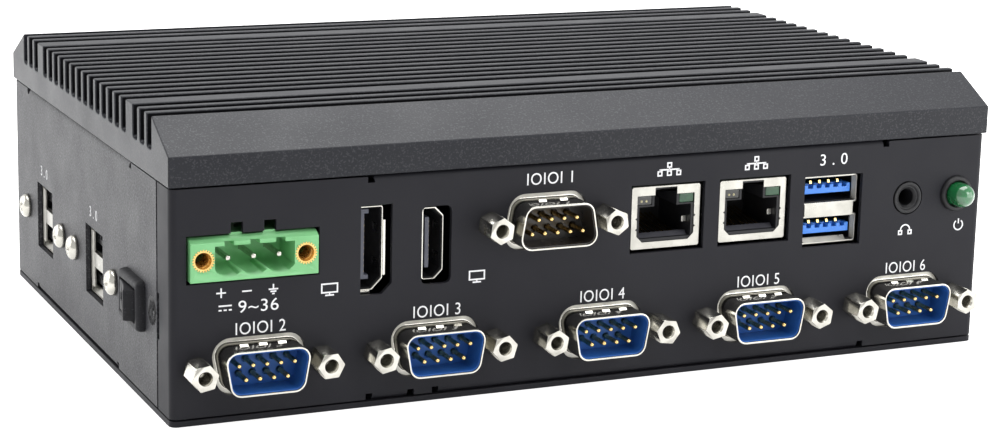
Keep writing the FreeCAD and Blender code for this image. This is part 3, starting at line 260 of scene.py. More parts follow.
def soften(piece, width, steps=2, angle=35):
    # rounds every edge sharper than the angle; width in mm
    tidyFaces(piece)
    piece.data.shade_smooth()
    bevel = piece.modifiers.new("rounding", "BEVEL")
    bevel.width = width * mm
    bevel.segments = steps
    bevel.limit_method = "ANGLE"
    bevel.angle_limit = math.radians(angle)
    bevel.use_clamp_overlap = True
    level = piece.modifiers.new("flatFaces", "WEIGHTED_NORMAL")
    level.weight = 100
    level.keep_sharp = True
    return settle(piece)


def tidyFaces(piece):
    shape = bmesh.new()
    shape.from_mesh(piece.data)
    bmesh.ops.remove_doubles(shape, verts=shape.verts, dist=2e-6)
    bmesh.ops.dissolve_limit(shape, angle_limit=math.radians(0.5), verts=shape.verts, edges=shape.edges)
    shape.to_mesh(piece.data)
    shape.free()


def carve(piece, tools, operation="DIFFERENCE"):
    # tools is one bmesh that holds all the cutters
    cutter = newPiece(piece.name + ".tools", tools)
    cut = piece.modifiers.new("cut", "BOOLEAN")
    cut.operation = operation
    cut.object = cutter
    cut.solver = "EXACT"
    cut.use_self = True
    settle(piece)
    dropPattern(cutter)
    return piece


def dress(piece, slotName, material=None, body="case", replaced=()):
    piece.data.materials.clear()
    piece.data.materials.append(material or finishes[slotName])
    for face in piece.data.polygons:
        face.material_index = 0
    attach(piece, body)
    if replaced:
        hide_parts(*replaced)
    return piece


def dropPattern(piece):
    mesh = piece.data
    bpy.data.objects.remove(piece)
    bpy.data.meshes.remove(mesh)


def placedCopy(piece, name, place):
    mesh = piece.data.copy()
    mesh.name = name
    mesh.transform(place)
    return linked(name, mesh)


def joinTo(shape, part):
    # adds one bmesh to another and frees it
    spare = bpy.data.meshes.new("spare")
    part.to_mesh(spare)
    part.free()
    shape.from_mesh(spare)
    bpy.data.meshes.remove(spare)


def joined(piece, *others):
    # one object from several, their meshes put together as they are
    shape = bmesh.new()
    for part in (piece,) + others:
        shape.from_mesh(part.data)
    shape.to_mesh(piece.data)
    shape.free()
    for part in others:
        dropPattern(part)
    return piece


def copyOf(node, name):
    # a copy of a solid's mesh, its loose triangles joined
    shape = bmesh.new()
    shape.from_mesh(frame["nodes"][node].data)
    piece = newPiece(name, shape)
    tidyFaces(piece)
    return piece


def lumps(node):
    # the lowest and highest corner of each separate solid in a node
    shape = bmesh.new()
    shape.from_mesh(frame["nodes"][node].data)
    bmesh.ops.remove_doubles(shape, verts=shape.verts, dist=1e-6)
    waiting, corners = set(shape.verts), []
    while waiting:
        group, reached = [], [waiting.pop()]
        while reached:
            vertex = reached.pop()
            group.append(vertex.co.copy())
            for link in vertex.link_edges:
                other = link.other_vert(vertex)
                if other in waiting:
                    waiting.remove(other)
                    reached.append(other)
        low = Vector(min(p[i] for p in group) for i in range(3))
        high = Vector(max(p[i] for p in group) for i in range(3))
        corners.append((low, high))
    shape.free()
    return sorted(corners, key=lambda pair: tuple(round(c, 5) for c in pair[0]))


def roundedOutline(corners, radii, steps=6):
    outline = []
    count = len(corners)
    if not isinstance(radii, (list, tuple)):
        radii = [radii] * count
    for i, (u, v) in enumerate(corners):
        here = Vector((u, v))
        if radii[i] <= 0:
            outline.append((u, v))
            continue
        back = (Vector(corners[i - 1]) - here).normalized()
        ahead = (Vector(corners[(i + 1) % count]) - here).normalized()
        half = back.angle(ahead) / 2
        reach = radii[i] / math.tan(half)
        centre = here + (back + ahead).normalized() * (radii[i] / math.sin(half))
        first = here + back * reach - centre
        last = here + ahead * reach - centre
        turn = first.angle_signed(last)
        for step in range(steps + 1):
            angle = -turn * step / steps
            outline.append(tuple(centre + Matrix.Rotation(angle, 2) @ first))
    return outline


def box2(width, tall, u=0.0, v=0.0):
    return [(u - width / 2, v - tall / 2), (u + width / 2, v - tall / 2),
            (u + width / 2, v + tall / 2), (u - width / 2, v + tall / 2)]


def addPrism(shape, outline, low, high):
    # the outline in local x and y, in mm, carried from low to high along local z
    bottom = [shape.verts.new((u * mm, v * mm, low * mm)) for u, v in outline]
    top = [shape.verts.new((u * mm, v * mm, high * mm)) for u, v in outline]
    shape.faces.new(bottom)
    shape.faces.new(top)
    for i in range(len(outline)):
        shape.faces.new((bottom[i - 1], bottom[i], top[i], top[i - 1]))


def addBox(shape, x0, x1, y0, y1, z0, z1):
    addPrism(shape, [(x0, y0), (x1, y0), (x1, y1), (x0, y1)], z0, z1)


def addLathe(shape, profile, sides=32, centre=(0.0, 0.0), turn=0.0):
    # profile is (radius, height) pairs, turned about local z
    rings = []
    for radius, height in profile:
        if radius <= 1e-6:
            rings.append([shape.verts.new((centre[0] * mm, centre[1] * mm, height * mm))])
            continue
        ring = []
        for i in range(sides):
            angle = 2 * math.pi * i / sides + turn
            ring.append(shape.verts.new(((centre[0] + radius * math.cos(angle)) * mm,
                                         (centre[1] + radius * math.sin(angle)) * mm, height * mm)))
        rings.append(ring)
    for near, far in zip(rings, rings[1:]):
        for i in range(sides):
            if len(near) == 1:
                shape.faces.new((near[0], far[i], far[i - 1]))
            elif len(far) == 1:
                shape.faces.new((near[i - 1], near[i], far[0]))
            else:
                shape.faces.new((near[i - 1], near[i], far[i], far[i - 1]))
    for ring in (rings[0], rings[-1]):
        if len(ring) > 1:
            shape.faces.new(ring)


def addSkin(shape, rings):
    # joins rings of equal counts with quads; each ring is (outline, height)
    loops = [[shape.verts.new((u * mm, v * mm, height * mm)) for u, v in outline]
             for outline, height in rings]
    for near, far in zip(loops, loops[1:]):
        for i in range(len(near)):
            shape.faces.new((near[i - 1], near[i], far[i], far[i - 1]))
    return loops


def closeRings(shape, rings):
    # quads from each ring to the next, and from the last to the first
    for near, far in zip(rings, rings[1:] + rings[:1]):
        for i in range(len(near)):
            shape.faces.new((near[i - 1], near[i], far[i], far[i - 1]))


def ringEdges(shape, loop):
    return [shape.edges.get((loop[i - 1], loop[i])) or shape.edges.new((loop[i - 1], loop[i]))
            for i in range(len(loop))]


def fillBetween(shape, loops):
    edges = [edge for loop in loops for edge in ringEdges(shape, loop)]
    bmesh.ops.triangle_fill(shape, use_beauty=True, edges=edges)


# a shape's (a, b, c) becomes (c, b, a), (a, c, b) or (c, a, b)
endsSwapped = Matrix(((0, 0, 1, 0), (0, 1, 0, 0), (1, 0, 0, 0), (0, 0, 0, 1)))
depthSwapped = Matrix(((1, 0, 0, 0), (0, 0, 1, 0), (0, 1, 0, 0), (0, 0, 0, 1)))
lyingAlongX = Matrix(((0, 0, 1, 0), (1, 0, 0, 0), (0, 1, 0, 0), (0, 0, 0, 1)))


def facingFront(x, z, y=None):
    # local x is right, local y is up and local z comes out of the port panel; metres
    return Matrix.Translation((x, frontY if y is None else y, z)) @ Matrix.Rotation(math.pi / 2, 4, "X")


def facingLeft(y, z, x=None):
    turn = Matrix(((0, 0, -1, 0), (-1, 0, 0, 0), (0, 1, 0, 0), (0, 0, 0, 1)))
    return Matrix.Translation((leftX if x is None else x, y, z)) @ turn


def smoothByAngle(piece, angle=40):
    piece.data.shade_smooth()
    piece.data.set_sharp_from_angle(angle=math.radians(angle))
    return piece


# geometry node trees

def newTree(name, inputs):
    tree = bpy.data.node_groups.new(name, "GeometryNodeTree")
    tree.interface.new_socket("Geometry", in_out="INPUT", socket_type="NodeSocketGeometry")
    for label, kind, value in inputs:
        socket = tree.interface.new_socket(label, in_out="INPUT", socket_type="NodeSocket" + kind)
        if value is not None:
            socket.default_value = value
    tree.interface.new_socket("Geometry", in_out="OUTPUT", socket_type="NodeSocketGeometry")
    return tree, tree.nodes.new("NodeGroupInput").outputs, tree.nodes.new("NodeGroupOutput").inputs


def addNode(tree, kind, settings=None, **inputs):
    node = tree.nodes.new(kind)
    for label, value in (settings or {}).items():
        setattr(node, label, value)
    for label, value in inputs.items():
        socket = node.inputs[int(label[1:])] if label[0] == "n" and label[1:].isdigit() \
            else node.inputs[label.replace("_", " ")]
        for item in (value if isinstance(value, list) else [value]):
            if isinstance(item, bpy.types.NodeSocket):
                tree.links.new(item, socket)
            else:
                socket.default_value = item
    return node.outputs


def sums(tree, operation, first, second):
    return addNode(tree, "ShaderNodeMath", {"operation": operation}, n0=first, n1=second)[0]


def vector(tree, x=0.0, y=0.0, z=0.0):
    return addNode(tree, "ShaderNodeCombineXYZ", X=x, Y=y, Z=z)[0]


def runTree(piece, tree, values):
    grower = piece.modifiers.new("grower", "NODES")
    grower.node_group = tree
    for socket in tree.interface.items_tree:
        if getattr(socket, "in_out", "") == "INPUT" and socket.name in values:
            grower[socket.identifier] = values[socket.name]
    return settle(piece)


def closeTree(tree, geometry, material, output):
    real = addNode(tree, "GeometryNodeRealizeInstances", Geometry=geometry)[0]
    made = addNode(tree, "GeometryNodeSetMaterial", Geometry=real, Material=material)[0]
    tree.links.new(made, output[0])


def repeatTree():
    # one piece on every point, turned by a fixed seed
    tree, given, output = newTree("piecesOnPoints", [
        ("Piece", "Object", None), ("Size", "Float", 1.0), ("Random turn", "Float", 0.0),
        ("Seed", "Int", 1),
        ("Axis", "Vector", (0.0, 1.0, 0.0)), ("Finish", "Material", None)])
    piece = addNode(tree, "GeometryNodeObjectInfo", Object=given["Piece"])["Geometry"]
    turn = addNode(tree, "FunctionNodeRandomValue", {"data_type": "FLOAT"}, n2=0.0, n3=given["Random turn"],
                   Seed=given["Seed"])[1]
    spin = addNode(tree, "ShaderNodeVectorMath", {"operation": "SCALE"}, n0=given["Axis"], Scale=turn)[0]
    placed = addNode(tree, "GeometryNodeInstanceOnPoints", Points=given["Geometry"], Instance=piece,
                     Rotation=spin, Scale=vector(tree, given["Size"], given["Size"], given["Size"]))[0]
    closeTree(tree, placed, given["Finish"], output)
    return tree


piecesOnPoints = repeatTree()


def onPoints(name, template, places, material, turn=0.0, seed=1, axis=(0.0, 1.0, 0.0)):
    # template is an object about the origin; it is used up
    shape = bmesh.new()
    for place in places:
        shape.verts.new(place)
    piece = fromShape(name, shape)
    runTree(piece, piecesOnPoints, {"Piece": template, "Random turn": turn, "Seed": seed, "Axis": axis,
                                    "Finish": material})
    bpy.data.objects.remove(template)
    return piece


# heat sink

heatSink = {
    "skirt": 5.9, "bevelRun": 11.2, "slotWidth": 3.1, "slotDepth": 6.65, "slotCorner": 0.9,
    "cornerSteps": 5,
    "pitch": 4.9, "centreSlots": 14, "edgeSlots": 3, "wideRib": 5.0, "rounding": 0.28,
    "shadeStart": 0.5,
}


def finTree():
    tree, given, output = newTree("finSlots", [
        ("Slot width", "Float", 3.1 * mm), ("Slot depth", "Float", 6.65 * mm),
        ("Corner radius", "Float", 0.9 * mm),
        ("Corner steps", "Int", 5), ("Pitch", "Float", 4.9 * mm), ("Centre slots", "Int", 14),
        ("Edge slots", "Int", 3), ("Wide rib", "Float", 5 * mm), ("Length", "Float", 0.19),
        ("Top", "Float", 0.0583), ("Finish", "Material", None)])
    section = addNode(tree, "GeometryNodeCurvePrimitiveQuadrilateral",
                      Width=sums(tree, "MULTIPLY", given["Slot depth"], 2.0), Height=given["Slot width"])[0]
    section = addNode(tree, "GeometryNodeFilletCurve", {"mode": "POLY"}, Curve=section,
                      Count=given["Corner steps"], Radius=given["Corner radius"])[0]
    face = addNode(tree, "GeometryNodeFillCurve", {"mode": "NGONS"}, Curve=section)[0]
    walls = addNode(tree, "GeometryNodeExtrudeMesh", Mesh=face, Offset_Scale=given["Length"])[0]
    floor = addNode(tree, "GeometryNodeFlipFaces", Mesh=face)[0]
    cutter = addNode(tree, "GeometryNodeMergeByDistance",
                     Geometry=addNode(tree, "GeometryNodeJoinGeometry", Geometry=[walls, floor])[0],
                     Distance=1e-6)[0]
    away = sums(tree, "MULTIPLY", given["Length"], -0.5)
    cutter = addNode(tree, "GeometryNodeTransform", Geometry=cutter,
                     Translation=vector(tree, away, 0.0, given["Top"]),
                     Rotation=(0.0, math.pi / 2, 0.0))[0]
    gaps = sums(tree, "SUBTRACT", given["Centre slots"], 1.0)
    lastCentre = sums(tree, "MULTIPLY", sums(tree, "MULTIPLY", gaps, 0.5), given["Pitch"])
    firstEdge = sums(tree, "ADD", sums(tree, "ADD", lastCentre, given["Slot width"]), given["Wide rib"])
    negative = lambda value: sums(tree, "MULTIPLY", value, -1.0)
    rows = []
    for count, start, step in ((given["Centre slots"], negative(lastCentre), given["Pitch"]),
                               (given["Edge slots"], firstEdge, given["Pitch"]),
                               (given["Edge slots"], negative(firstEdge), negative(given["Pitch"]))):
        rows.append(addNode(tree, "GeometryNodeMeshLine", Count=count,
                            Start_Location=vector(tree, 0.0, start),
                            Offset=vector(tree, 0.0, step))[0])
    line = addNode(tree, "GeometryNodeJoinGeometry", Geometry=rows)[0]
    cutters = addNode(tree, "GeometryNodeInstanceOnPoints", Points=line, Instance=cutter)[0]
    cutters = addNode(tree, "GeometryNodeRealizeInstances", Geometry=cutters)[0]
    finned = addNode(tree, "GeometryNodeMeshBoolean", {"operation": "DIFFERENCE", "solver": "EXACT"},
                     n0=given["Geometry"], n1=cutters)[0]
    closeTree(tree, finned, given["Finish"], output)
    return tree


def makeHeatSink():
    size = heatSink
    low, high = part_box("heat_sink")
    seam, top = seamZ / mm, high.z / mm
    half = high.y / mm
    shape = bmesh.new()
    profile = [(-half, seam), (half, seam), (half, seam + size["skirt"]), (half - size["bevelRun"], top),
               (size["bevelRun"] - half, top), (-half, seam + size["skirt"])]
    addPrism(shape, profile, low.x / mm, high.x / mm)
    piece = newPiece("heatSinkFins", shape, lyingAlongX)
    runTree(piece, finTree(), {
        "Slot width": size["slotWidth"] * mm, "Slot depth": size["slotDepth"] * mm,
        "Corner radius": size["slotCorner"] * mm, "Corner steps": size["cornerSteps"],
        "Pitch": size["pitch"] * mm,
        "Centre slots": size["centreSlots"], "Edge slots": size["edgeSlots"],
        "Wide rib": size["wideRib"] * mm,
        "Length": (high.x - low.x) * 1.1, "Top": high.z, "Finish": finishes["dark_aluminium"]})
    soften(piece, size["rounding"], 2)
    padLow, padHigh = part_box("thermal_pad")
    centre = (padLow + padHigh) / 2 / mm
    pedestal = bmesh.new()
    addPrism(pedestal, box2(34.0, 34.0, centre.x, centre.y), padHigh.z / mm, seam + 0.5)
    carve(piece, pedestal, "UNION")
    dress(piece, "dark_aluminium", replaced=["heat_sink"])
    # painted shade: the walls and floors of the fin slots, from a little below the fin tops down to the
    # skirt's level, get the darker slot finish
    piece.data.materials.append(slotShade)
    deep = high.z - size["shadeStart"] * mm
    ends = (half - size["bevelRun"]) * mm
    for face in piece.data.polygons:
        spot = face.center
        if abs(spot.y) < ends and spot.z < deep and abs(face.normal.x) < 0.3:
            face.material_index = int(spot.z > (seam + size["skirt"]) * mm)
    return piece


makeHeatSink()
print("heat sink made")


# folded panels

panelLook = {"rounding": 0.16, "grow": 0.015, "cutSteps": 8, "audioHole": 3.6, "lightHole": 3.3}


def noseOutline(inset, up, steps=6):
    size = serialPort
    halfTall = size["noseTall"] / 2 - inset
    wide = size["noseWidth"] / 2 - inset
    narrow = wide - 2 * halfTall * math.tan(math.radians(size["slant"]))
    corners = [(-narrow, -halfTall), (narrow, -halfTall), (wide, halfTall), (-wide, halfTall)]
    if up < 0:
        corners = [(-wide, -halfTall), (wide, -halfTall), (narrow, halfTall), (-narrow, halfTall)]
    return roundedOutline(corners, size["corner"] - inset, steps)


serialPort = {
    "noseWidth": 17.6, "noseTall": 9.0, "corner": 2.4, "slant": 10.0, "wall": 0.45, "reach": 6.0,
    "flangeWidth": 30.8, "flangeTall": 12.4, "flangeCorner": 1.2, "flangeSheet": 0.8, "rootFillet": 0.3,
    "screwSpacing": 24.99, "screwHole": 1.45, "panelGap": 1.2, "rounding": 0.16,
    "floorDrop": 0.2, "bodyWidth": 19.0, "bodyTall": 10.4, "bodyDepth": 8.0,
    "pitch": 2.77, "rowGap": 2.84, "pinRadius": 0.5, "pinReach": 5.2, "pinLength": 14.9,
    "dimples": (-3.8, 0.0, 3.8), "firstDimples": (-2.3, 2.3), "dimpleHalf": 0.8,
    "dimpleProfile": ((1.7, -0.2), (1.8, 0.1), (2.0, 0.35), (2.2, 0.38), (2.7, -0.05), (2.7, -0.2)),
    "hexAcross": 4.8, "hexReach": 6.2, "threadRadius": 1.2, "threadPitch": 0.42, "threadTurns": 9,
}
serialPorts = [(number, middle("serial_shell_%d" % number), -1 if number == 1 else 1)
               for number in range(1, 7)]       # number, place, and which way up


def makePanels():
    size = panelLook
    grow = size["grow"]
    front = copyOf("front_panel", "frontPanel")
    tools = bmesh.new()
    for _, place, up in serialPorts:
        outline = [(place.x / mm + u, place.z / mm + v)
                   for u, v in noseOutline(-serialPort["panelGap"] - grow, up, size["cutSteps"])]
        addPrism(tools, outline, -1.6, 0.6)
    for node, radius in (("audio_socket", size["audioHole"]), ("light_lens", size["lightHole"])):
        place = middle(node) / mm
        addLathe(tools, [(radius + 0.07, -1.6), (radius + 0.07, 0.6)], 40, (place.x, place.z))
    tools.transform(facingFront(0, 0))
    carve(front, tools)
    dress(soften(front, size["rounding"]), "charcoal_coating", replaced=["front_panel"])
    sides = copyOf("side_and_rear_panel", "sideAndRearPanel")
    # painted light: the side and rear wrap gets the lighter copy of the powder coat
    dress(soften(sides, size["rounding"]), "charcoal_coating", sideCoatingPaintedLight,
          replaced=["side_and_rear_panel"])
    cover = copyOf("bottom_cover", "bottomCover")
    dress(soften(cover, size["rounding"]), "charcoal_coating", replaced=["bottom_cover"])


makePanels()
print("panels made")


# serial ports

def serialShell(number, place, up):
    size = serialPort
    back = panelBack - frontY                     # the flange's front, behind the panel
    out = size["reach"]
    wall, fillet = size["wall"], size["rootFillet"]
    behind = -back / mm
    rings = []
    for step in range(5):
        angle = math.pi / 2 * step / 4
        rings.append((noseOutline(-fillet * (1 - math.sin(angle)), up),
                      behind + fillet * (1 - math.cos(angle))))
    for inset, height in ((0.0, out - 0.14), (0.06, out - 0.04), (wall / 2, out), (wall - 0.06, out - 0.04),
                          (wall, out - 0.14), (wall, behind - size["flangeSheet"])):
        rings.append((noseOutline(inset, up), height))
    shape = bmesh.new()
    loops = addSkin(shape, rings)
    rim = roundedOutline(box2(size["flangeWidth"], size["flangeTall"]), size["flangeCorner"], 4)
    edge = addSkin(shape, [(rim, behind), (rim, behind - size["flangeSheet"])])
    holes = []
    for side in (-1, 1):
        circle = [(side * size["screwSpacing"] / 2 + size["screwHole"] * math.cos(a),
                   size["screwHole"] * math.sin(a)) for a in (2 * math.pi * i / 20 for i in range(20))]
        holes.append(addSkin(shape, [(circle, behind), (circle, behind - size["flangeSheet"])]))
    fillBetween(shape, [edge[0], loops[0]] + [hole[0] for hole in holes])
    fillBetween(shape, [edge[1], loops[-1]] + [hole[1] for hole in holes])
    # raised dimples that grip the plug
    top = size["noseTall"] / 2
    dimpleOutline = [(along, top + rise) for along, rise in size["dimpleProfile"]]
    for u in size["dimples"] if up > 0 else size["firstDimples"]:
        dimple = bmesh.new()
        addPrism(dimple, dimpleOutline, u - size["dimpleHalf"], u + size["dimpleHalf"])
        dimple.transform(endsSwapped)
        joinTo(shape, dimple)
    piece = newPiece("serialShell%d" % number, shape, facingFront(place.x, place.z))
    smoothByAngle(piece, 42)
    return dress(piece, "bright_nickel", replaced=["serial_shell_%d" % number])


def pinPlaces(up):
    size = serialPort
    return [((i - (count - 1) / 2) * size["pitch"], up * row * size["rowGap"] / 2)
            for count, row in ((5, 1), (4, -1)) for i in range(count)]


def serialFlanges():
    # the tinned face of each flange, in the panel's cut-out round the nose
    size = serialPort
    shape = bmesh.new()
    behind = -(panelBack - frontY) / mm + 0.02
    for _, place, up in serialPorts:
        ring = bmesh.new()
        addSkin(ring, [(noseOutline(-size["rootFillet"] - 0.02, up), behind - 0.2),
                               (noseOutline(-size["rootFillet"] - 0.02, up), behind),
                               (noseOutline(0.03 - size["panelGap"], up), behind),
                               (noseOutline(0.03 - size["panelGap"], up), behind - 0.2)])
        ring.transform(facingFront(place.x, place.z))
        joinTo(shape, ring)
    return dress(newPiece("serialFlangeFaces", shape), "plated_steel", satinTin)


def serialInsulator(number, place, up):
    size = serialPort
    behind = -(panelBack - frontY) / mm - size["flangeSheet"]
    shape = bmesh.new()
    addPrism(shape, noseOutline(size["wall"] + 0.02, up), behind, -size["floorDrop"])
    piece = newPiece("serialInsulator%d" % number, shape)
    body = bmesh.new()
    addPrism(body, box2(size["bodyWidth"], size["bodyTall"]), behind - size["bodyDepth"], behind + 0.01)
    carve(piece, body, "UNION")
    tools = bmesh.new()
    for u, v in pinPlaces(up):
        addLathe(tools, [(0.82, 0.2), (0.82, -0.26), (0.66, -0.42), (0.66, -0.8)], 18, (u, v))
    carve(piece, tools)
    lining = bmesh.new()
    inner, lip = size["wall"] + 0.22, size["reach"] - 0.35
    addSkin(lining, [(noseOutline(size["wall"] + 0.02, up), -size["floorDrop"] - 0.2),
                     (noseOutline(size["wall"] + 0.02, up), lip), (noseOutline(inner, up), lip),
                     (noseOutline(inner, up), -size["floorDrop"] - 0.2)])
    piece = joined(piece, newPiece("lining", lining))
    piece.data.transform(facingFront(place.x, place.z))
    smoothByAngle(piece, 35)
    brown = brownMoulding if up < 0 else None
    return dress(piece, "blue_moulding", brown, replaced=["serial_insulator_%d" % number])


def pinTree():
    tree, given, output = newTree("pinRows", [
        ("Pin", "Object", None), ("Long row", "Int", 5), ("Short row", "Int", 4),
        ("Pitch", "Float", 2.77 * mm),
        ("Row gap", "Float", 2.84 * mm), ("Finish", "Material", None)])
    pin = addNode(tree, "GeometryNodeObjectInfo", Object=given["Pin"])["Geometry"]
    rows = []
    for count, side in ((given["Long row"], 0.5), (given["Short row"], -0.5)):
        first = sums(tree, "MULTIPLY", sums(tree, "MULTIPLY", sums(tree, "SUBTRACT", count, 1.0), -0.5),
                     given["Pitch"])
        height = sums(tree, "MULTIPLY", given["Row gap"], side)
        rows.append(addNode(tree, "GeometryNodeMeshLine", Count=count,
                            Start_Location=vector(tree, first, 0.0, height),
                            Offset=vector(tree, given["Pitch"]))[0])
    row = addNode(tree, "GeometryNodeJoinGeometry", Geometry=rows)[0]
    row = addNode(tree, "GeometryNodeInstanceOnPoints", Points=row, Instance=pin)[0]
    turned = addNode(tree, "GeometryNodeInputNamedAttribute", {"data_type": "FLOAT"}, Name="turned")[0]
    ports = addNode(tree, "GeometryNodeInstanceOnPoints", Points=given["Geometry"], Instance=row,
                    Rotation=vector(tree, 0.0, turned))[0]
    closeTree(tree, ports, given["Finish"], output)
    return tree


def makePins():
    size = serialPort
    radius, reach = size["pinRadius"], size["pinReach"]
    profile = [(0.0, reach)] + [(radius * math.sin(a), reach - radius * 1.1 * (1 - math.cos(a)))
                                for a in (math.pi / 2 * i / 4 for i in range(1, 5))]
    profile += [(radius, reach - size["pinLength"]), (0.0, reach - size["pinLength"])]
    shape = bmesh.new()
    addLathe(shape, profile, 14)
    pin = smoothByAngle(newPiece("pinPattern", shape, facingFront(0, 0, 0)), 50)
    points = bmesh.new()
    turned = points.verts.layers.float.new("turned")
    for _, place, up in serialPorts:
        vertex = points.verts.new((place.x, frontY, place.z))
        vertex[turned] = math.pi if up < 0 else 0.0
    piece = fromShape("serialPins", points)
    runTree(piece, pinTree(), {"Pin": pin, "Long row": 5, "Short row": 4, "Pitch": size["pitch"] * mm,
                               "Row gap": size["rowGap"] * mm, "Finish": finishes["gold_contact"]})
    bpy.data.objects.remove(pin)
    return dress(piece, "gold_contact", replaced=["serial_pins"])


def hexPost():
    size = serialPort
    reach, radius, pitch = size["hexReach"], size["threadRadius"], size["threadPitch"]
    corner = size["hexAcross"] / 2 / math.cos(math.pi / 6)
    shape = bmesh.new()
    addPrism(shape, [(corner * math.cos(a), corner * math.sin(a))
                     for a in (math.pi / 3 * i for i in range(6))], 0.0, reach)
    piece = newPiece("jackscrewPattern", shape)
    crown = bmesh.new()
    addLathe(crown, [(corner + 1, -1.0), (corner + 1, reach - 0.8), (corner + 0.02, reach - 0.12),
                     (corner - 0.16, reach), (0.0, reach)], 48)
    carve(piece, crown, "INTERSECT")
    soften(piece, 0.07, 1, 50)
    shank = bmesh.new()
    addLathe(shank, [(0.0, -4.3), (1.2, -4.3), (1.38, -4.1), (1.38, 0.2), (0.0, 0.2)], 24)
    carve(piece, shank, "UNION")
    tools = bmesh.new()
    bore = [(0.0, reach + 0.5), (radius + 0.3, reach + 0.5), (radius + 0.22, reach),
            (radius + 0.05, reach - 0.3)]
    depth = reach - 0.4
    for _ in range(size["threadTurns"]):
        bore += [(radius - 0.16, depth - 0.45 * pitch), (radius - 0.16, depth - 0.58 * pitch),
                 (radius + 0.05, depth - pitch)]
        depth -= pitch
    bore += [(radius - 0.1, depth - 0.3), (0.0, depth - 0.9)]
    addLathe(tools, bore, 28)
    carve(piece, tools)
    piece.data.transform(facingFront(0, 0, 0))
    return smoothByAngle(piece, 30)


def makeJackscrews():
    spots = [(place.x + side * serialPort["screwSpacing"] / 2 * mm, frontY, place.z)
             for _, place, _ in serialPorts for side in (-1, 1)]
    piece = onPoints("serialJackscrews", hexPost(), spots, finishes["plated_steel"], turn=math.pi / 3,
                     seed=11)
    return dress(piece, "plated_steel", replaced=["serial_jackscrews"])


for number, place, up in serialPorts:
    serialShell(number, place, up)
    serialInsulator(number, place, up)
serialFlanges()
makePins()
makeJackscrews()
print("serial ports made")


# network sockets

lanSocket = {
    "width": 15.7, "tall": 13.0, "depth": 21.0, "wall": 0.25, "cornerCut": 0.3, "sillRun": 2.6,
    "sillRise": 1.1,
    "side": 1.3, "top": 1.9, "low": 1.4, "latchRoof": 0.35, "latchWidth": 5.0, "lowCut": 1.3,
    "nick": 0.28, "nickPlaces": (-0.15, -2.35), "tabSize": (1.0, 1.15), "rounding": 0.09,
    "contacts": 8, "contactPitch": 1.02,
}


def lanWindow():
    size = lanSocket
    half, latch = size["width"] / 2 - size["side"], size["latchWidth"] / 2
    top, low = size["tall"] / 2 - size["top"], size["low"] - size["tall"] / 2
    roof = size["tall"] / 2 - size["latchRoof"]
    cut, nick = size["lowCut"], size["nick"]
    right = [(half - cut, low), (half, low + cut)]
    for v in reversed(size["nickPlaces"]):
        right += [(half, v - nick), (half + nick * 1.3, v), (half, v + nick)]
    right += [(half, top), (latch, top), (latch, roof)]
    return right + [(-u, v) for u, v in reversed(right)]


def makeLan(number):
    size = lanSocket
    place = middle("lan_shield_%d" % number)
    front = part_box("lan_shield_%d" % number)[0].y
    width, tall, wall, depth = size["width"], size["tall"], size["wall"], size["depth"]
    shape = bmesh.new()
    cut = size["cornerCut"]
    outer = [(-width / 2 + cut, -tall / 2), (width / 2 - cut, -tall / 2), (width / 2, -tall / 2 + cut),
             (width / 2, tall / 2 - cut), (width / 2 - cut, tall / 2), (-width / 2 + cut, tall / 2),
             (-width / 2, tall / 2 - cut), (-width / 2, -tall / 2 + cut)]
    addPrism(shape, outer, -depth, 0.0)
    shield = newPiece("lanShield%d" % number, shape)
    tools = bmesh.new()
    addPrism(tools, box2(width - 2 * wall, tall - 2 * wall), -depth - 1, -wall)
    carve(shield, tools)
    tools = bmesh.new()
    addPrism(tools, lanWindow(), -1.0, 1.0)
    carve(shield, tools)
    soften(shield, size["rounding"])
    # the bent spring tab inside the right wall
    tab = bmesh.new()
    half = width / 2 - size["side"]
    tabWidth, tabTall = size["tabSize"]
    addBox(tab, half - 1.75, half - 1.75 + tabWidth, -1.25 - tabTall / 2, -1.25 + tabTall / 2, -2.3, -2.1)
    carve(shield, tab, "UNION")
    shield.data.transform(facingFront(place.x, place.z, front))
    dress(shield, "bright_nickel", shieldTin, replaced=["lan_shield_%d" % number])
    sill = bmesh.new()
    floor = size["low"] - tall / 2
    run, rise, inner = size["sillRun"], size["sillRise"], half - size["lowCut"] + 0.1
    addPrism(sill, [(-inner, floor), (inner, floor), (inner, floor + 0.3), (-inner, floor + 0.3)], -run,
             -0.3)
    for vertex in sill.verts:
        deep = (-vertex.co.z / mm - 0.3) / (run - 0.3)
        vertex.co.y += deep * rise * mm
        vertex.co.x *= 1 + deep * 0.1
    dress(newPiece("lanSill%d" % number, sill, facingFront(place.x, place.z, front)), "black_moulding",
          greySill)
    housing = copyOf("lan_housing_%d" % number, "lanHousing%d" % number)
    dress(soften(housing, 0.14), "black_moulding", replaced=["lan_housing_%d" % number])


def makeLanDots():
    # two chips behind each clear window
    dot = bmesh.new()
    bmesh.ops.create_uvsphere(dot, u_segments=10, v_segments=6, radius=0.3 * mm)
    pattern = newPiece("dotPattern", dot)
    spots = []
    for low, high in lumps("lan_link_lights"):
        for shift in (0.3, 0.62):
            spots.append((low.x + (high.x - low.x) * shift, low.y + 0.12 * mm,
                          low.z + 0.42 * (high.z - low.z)))
    dress(onPoints("linkLightDots", pattern, spots, chipYellow), "clear_lens", chipYellow)


def makeLanLights():
    for node, name, slotName in (("lan_link_lights", "linkLights", "clear_lens"),
                                 ("lan_activity_lights", "activityLights", "bright_green_lens")):
        lights = soften(copyOf(node, name), 0.3, 3)
        dress(lights, slotName, replaced=[node])


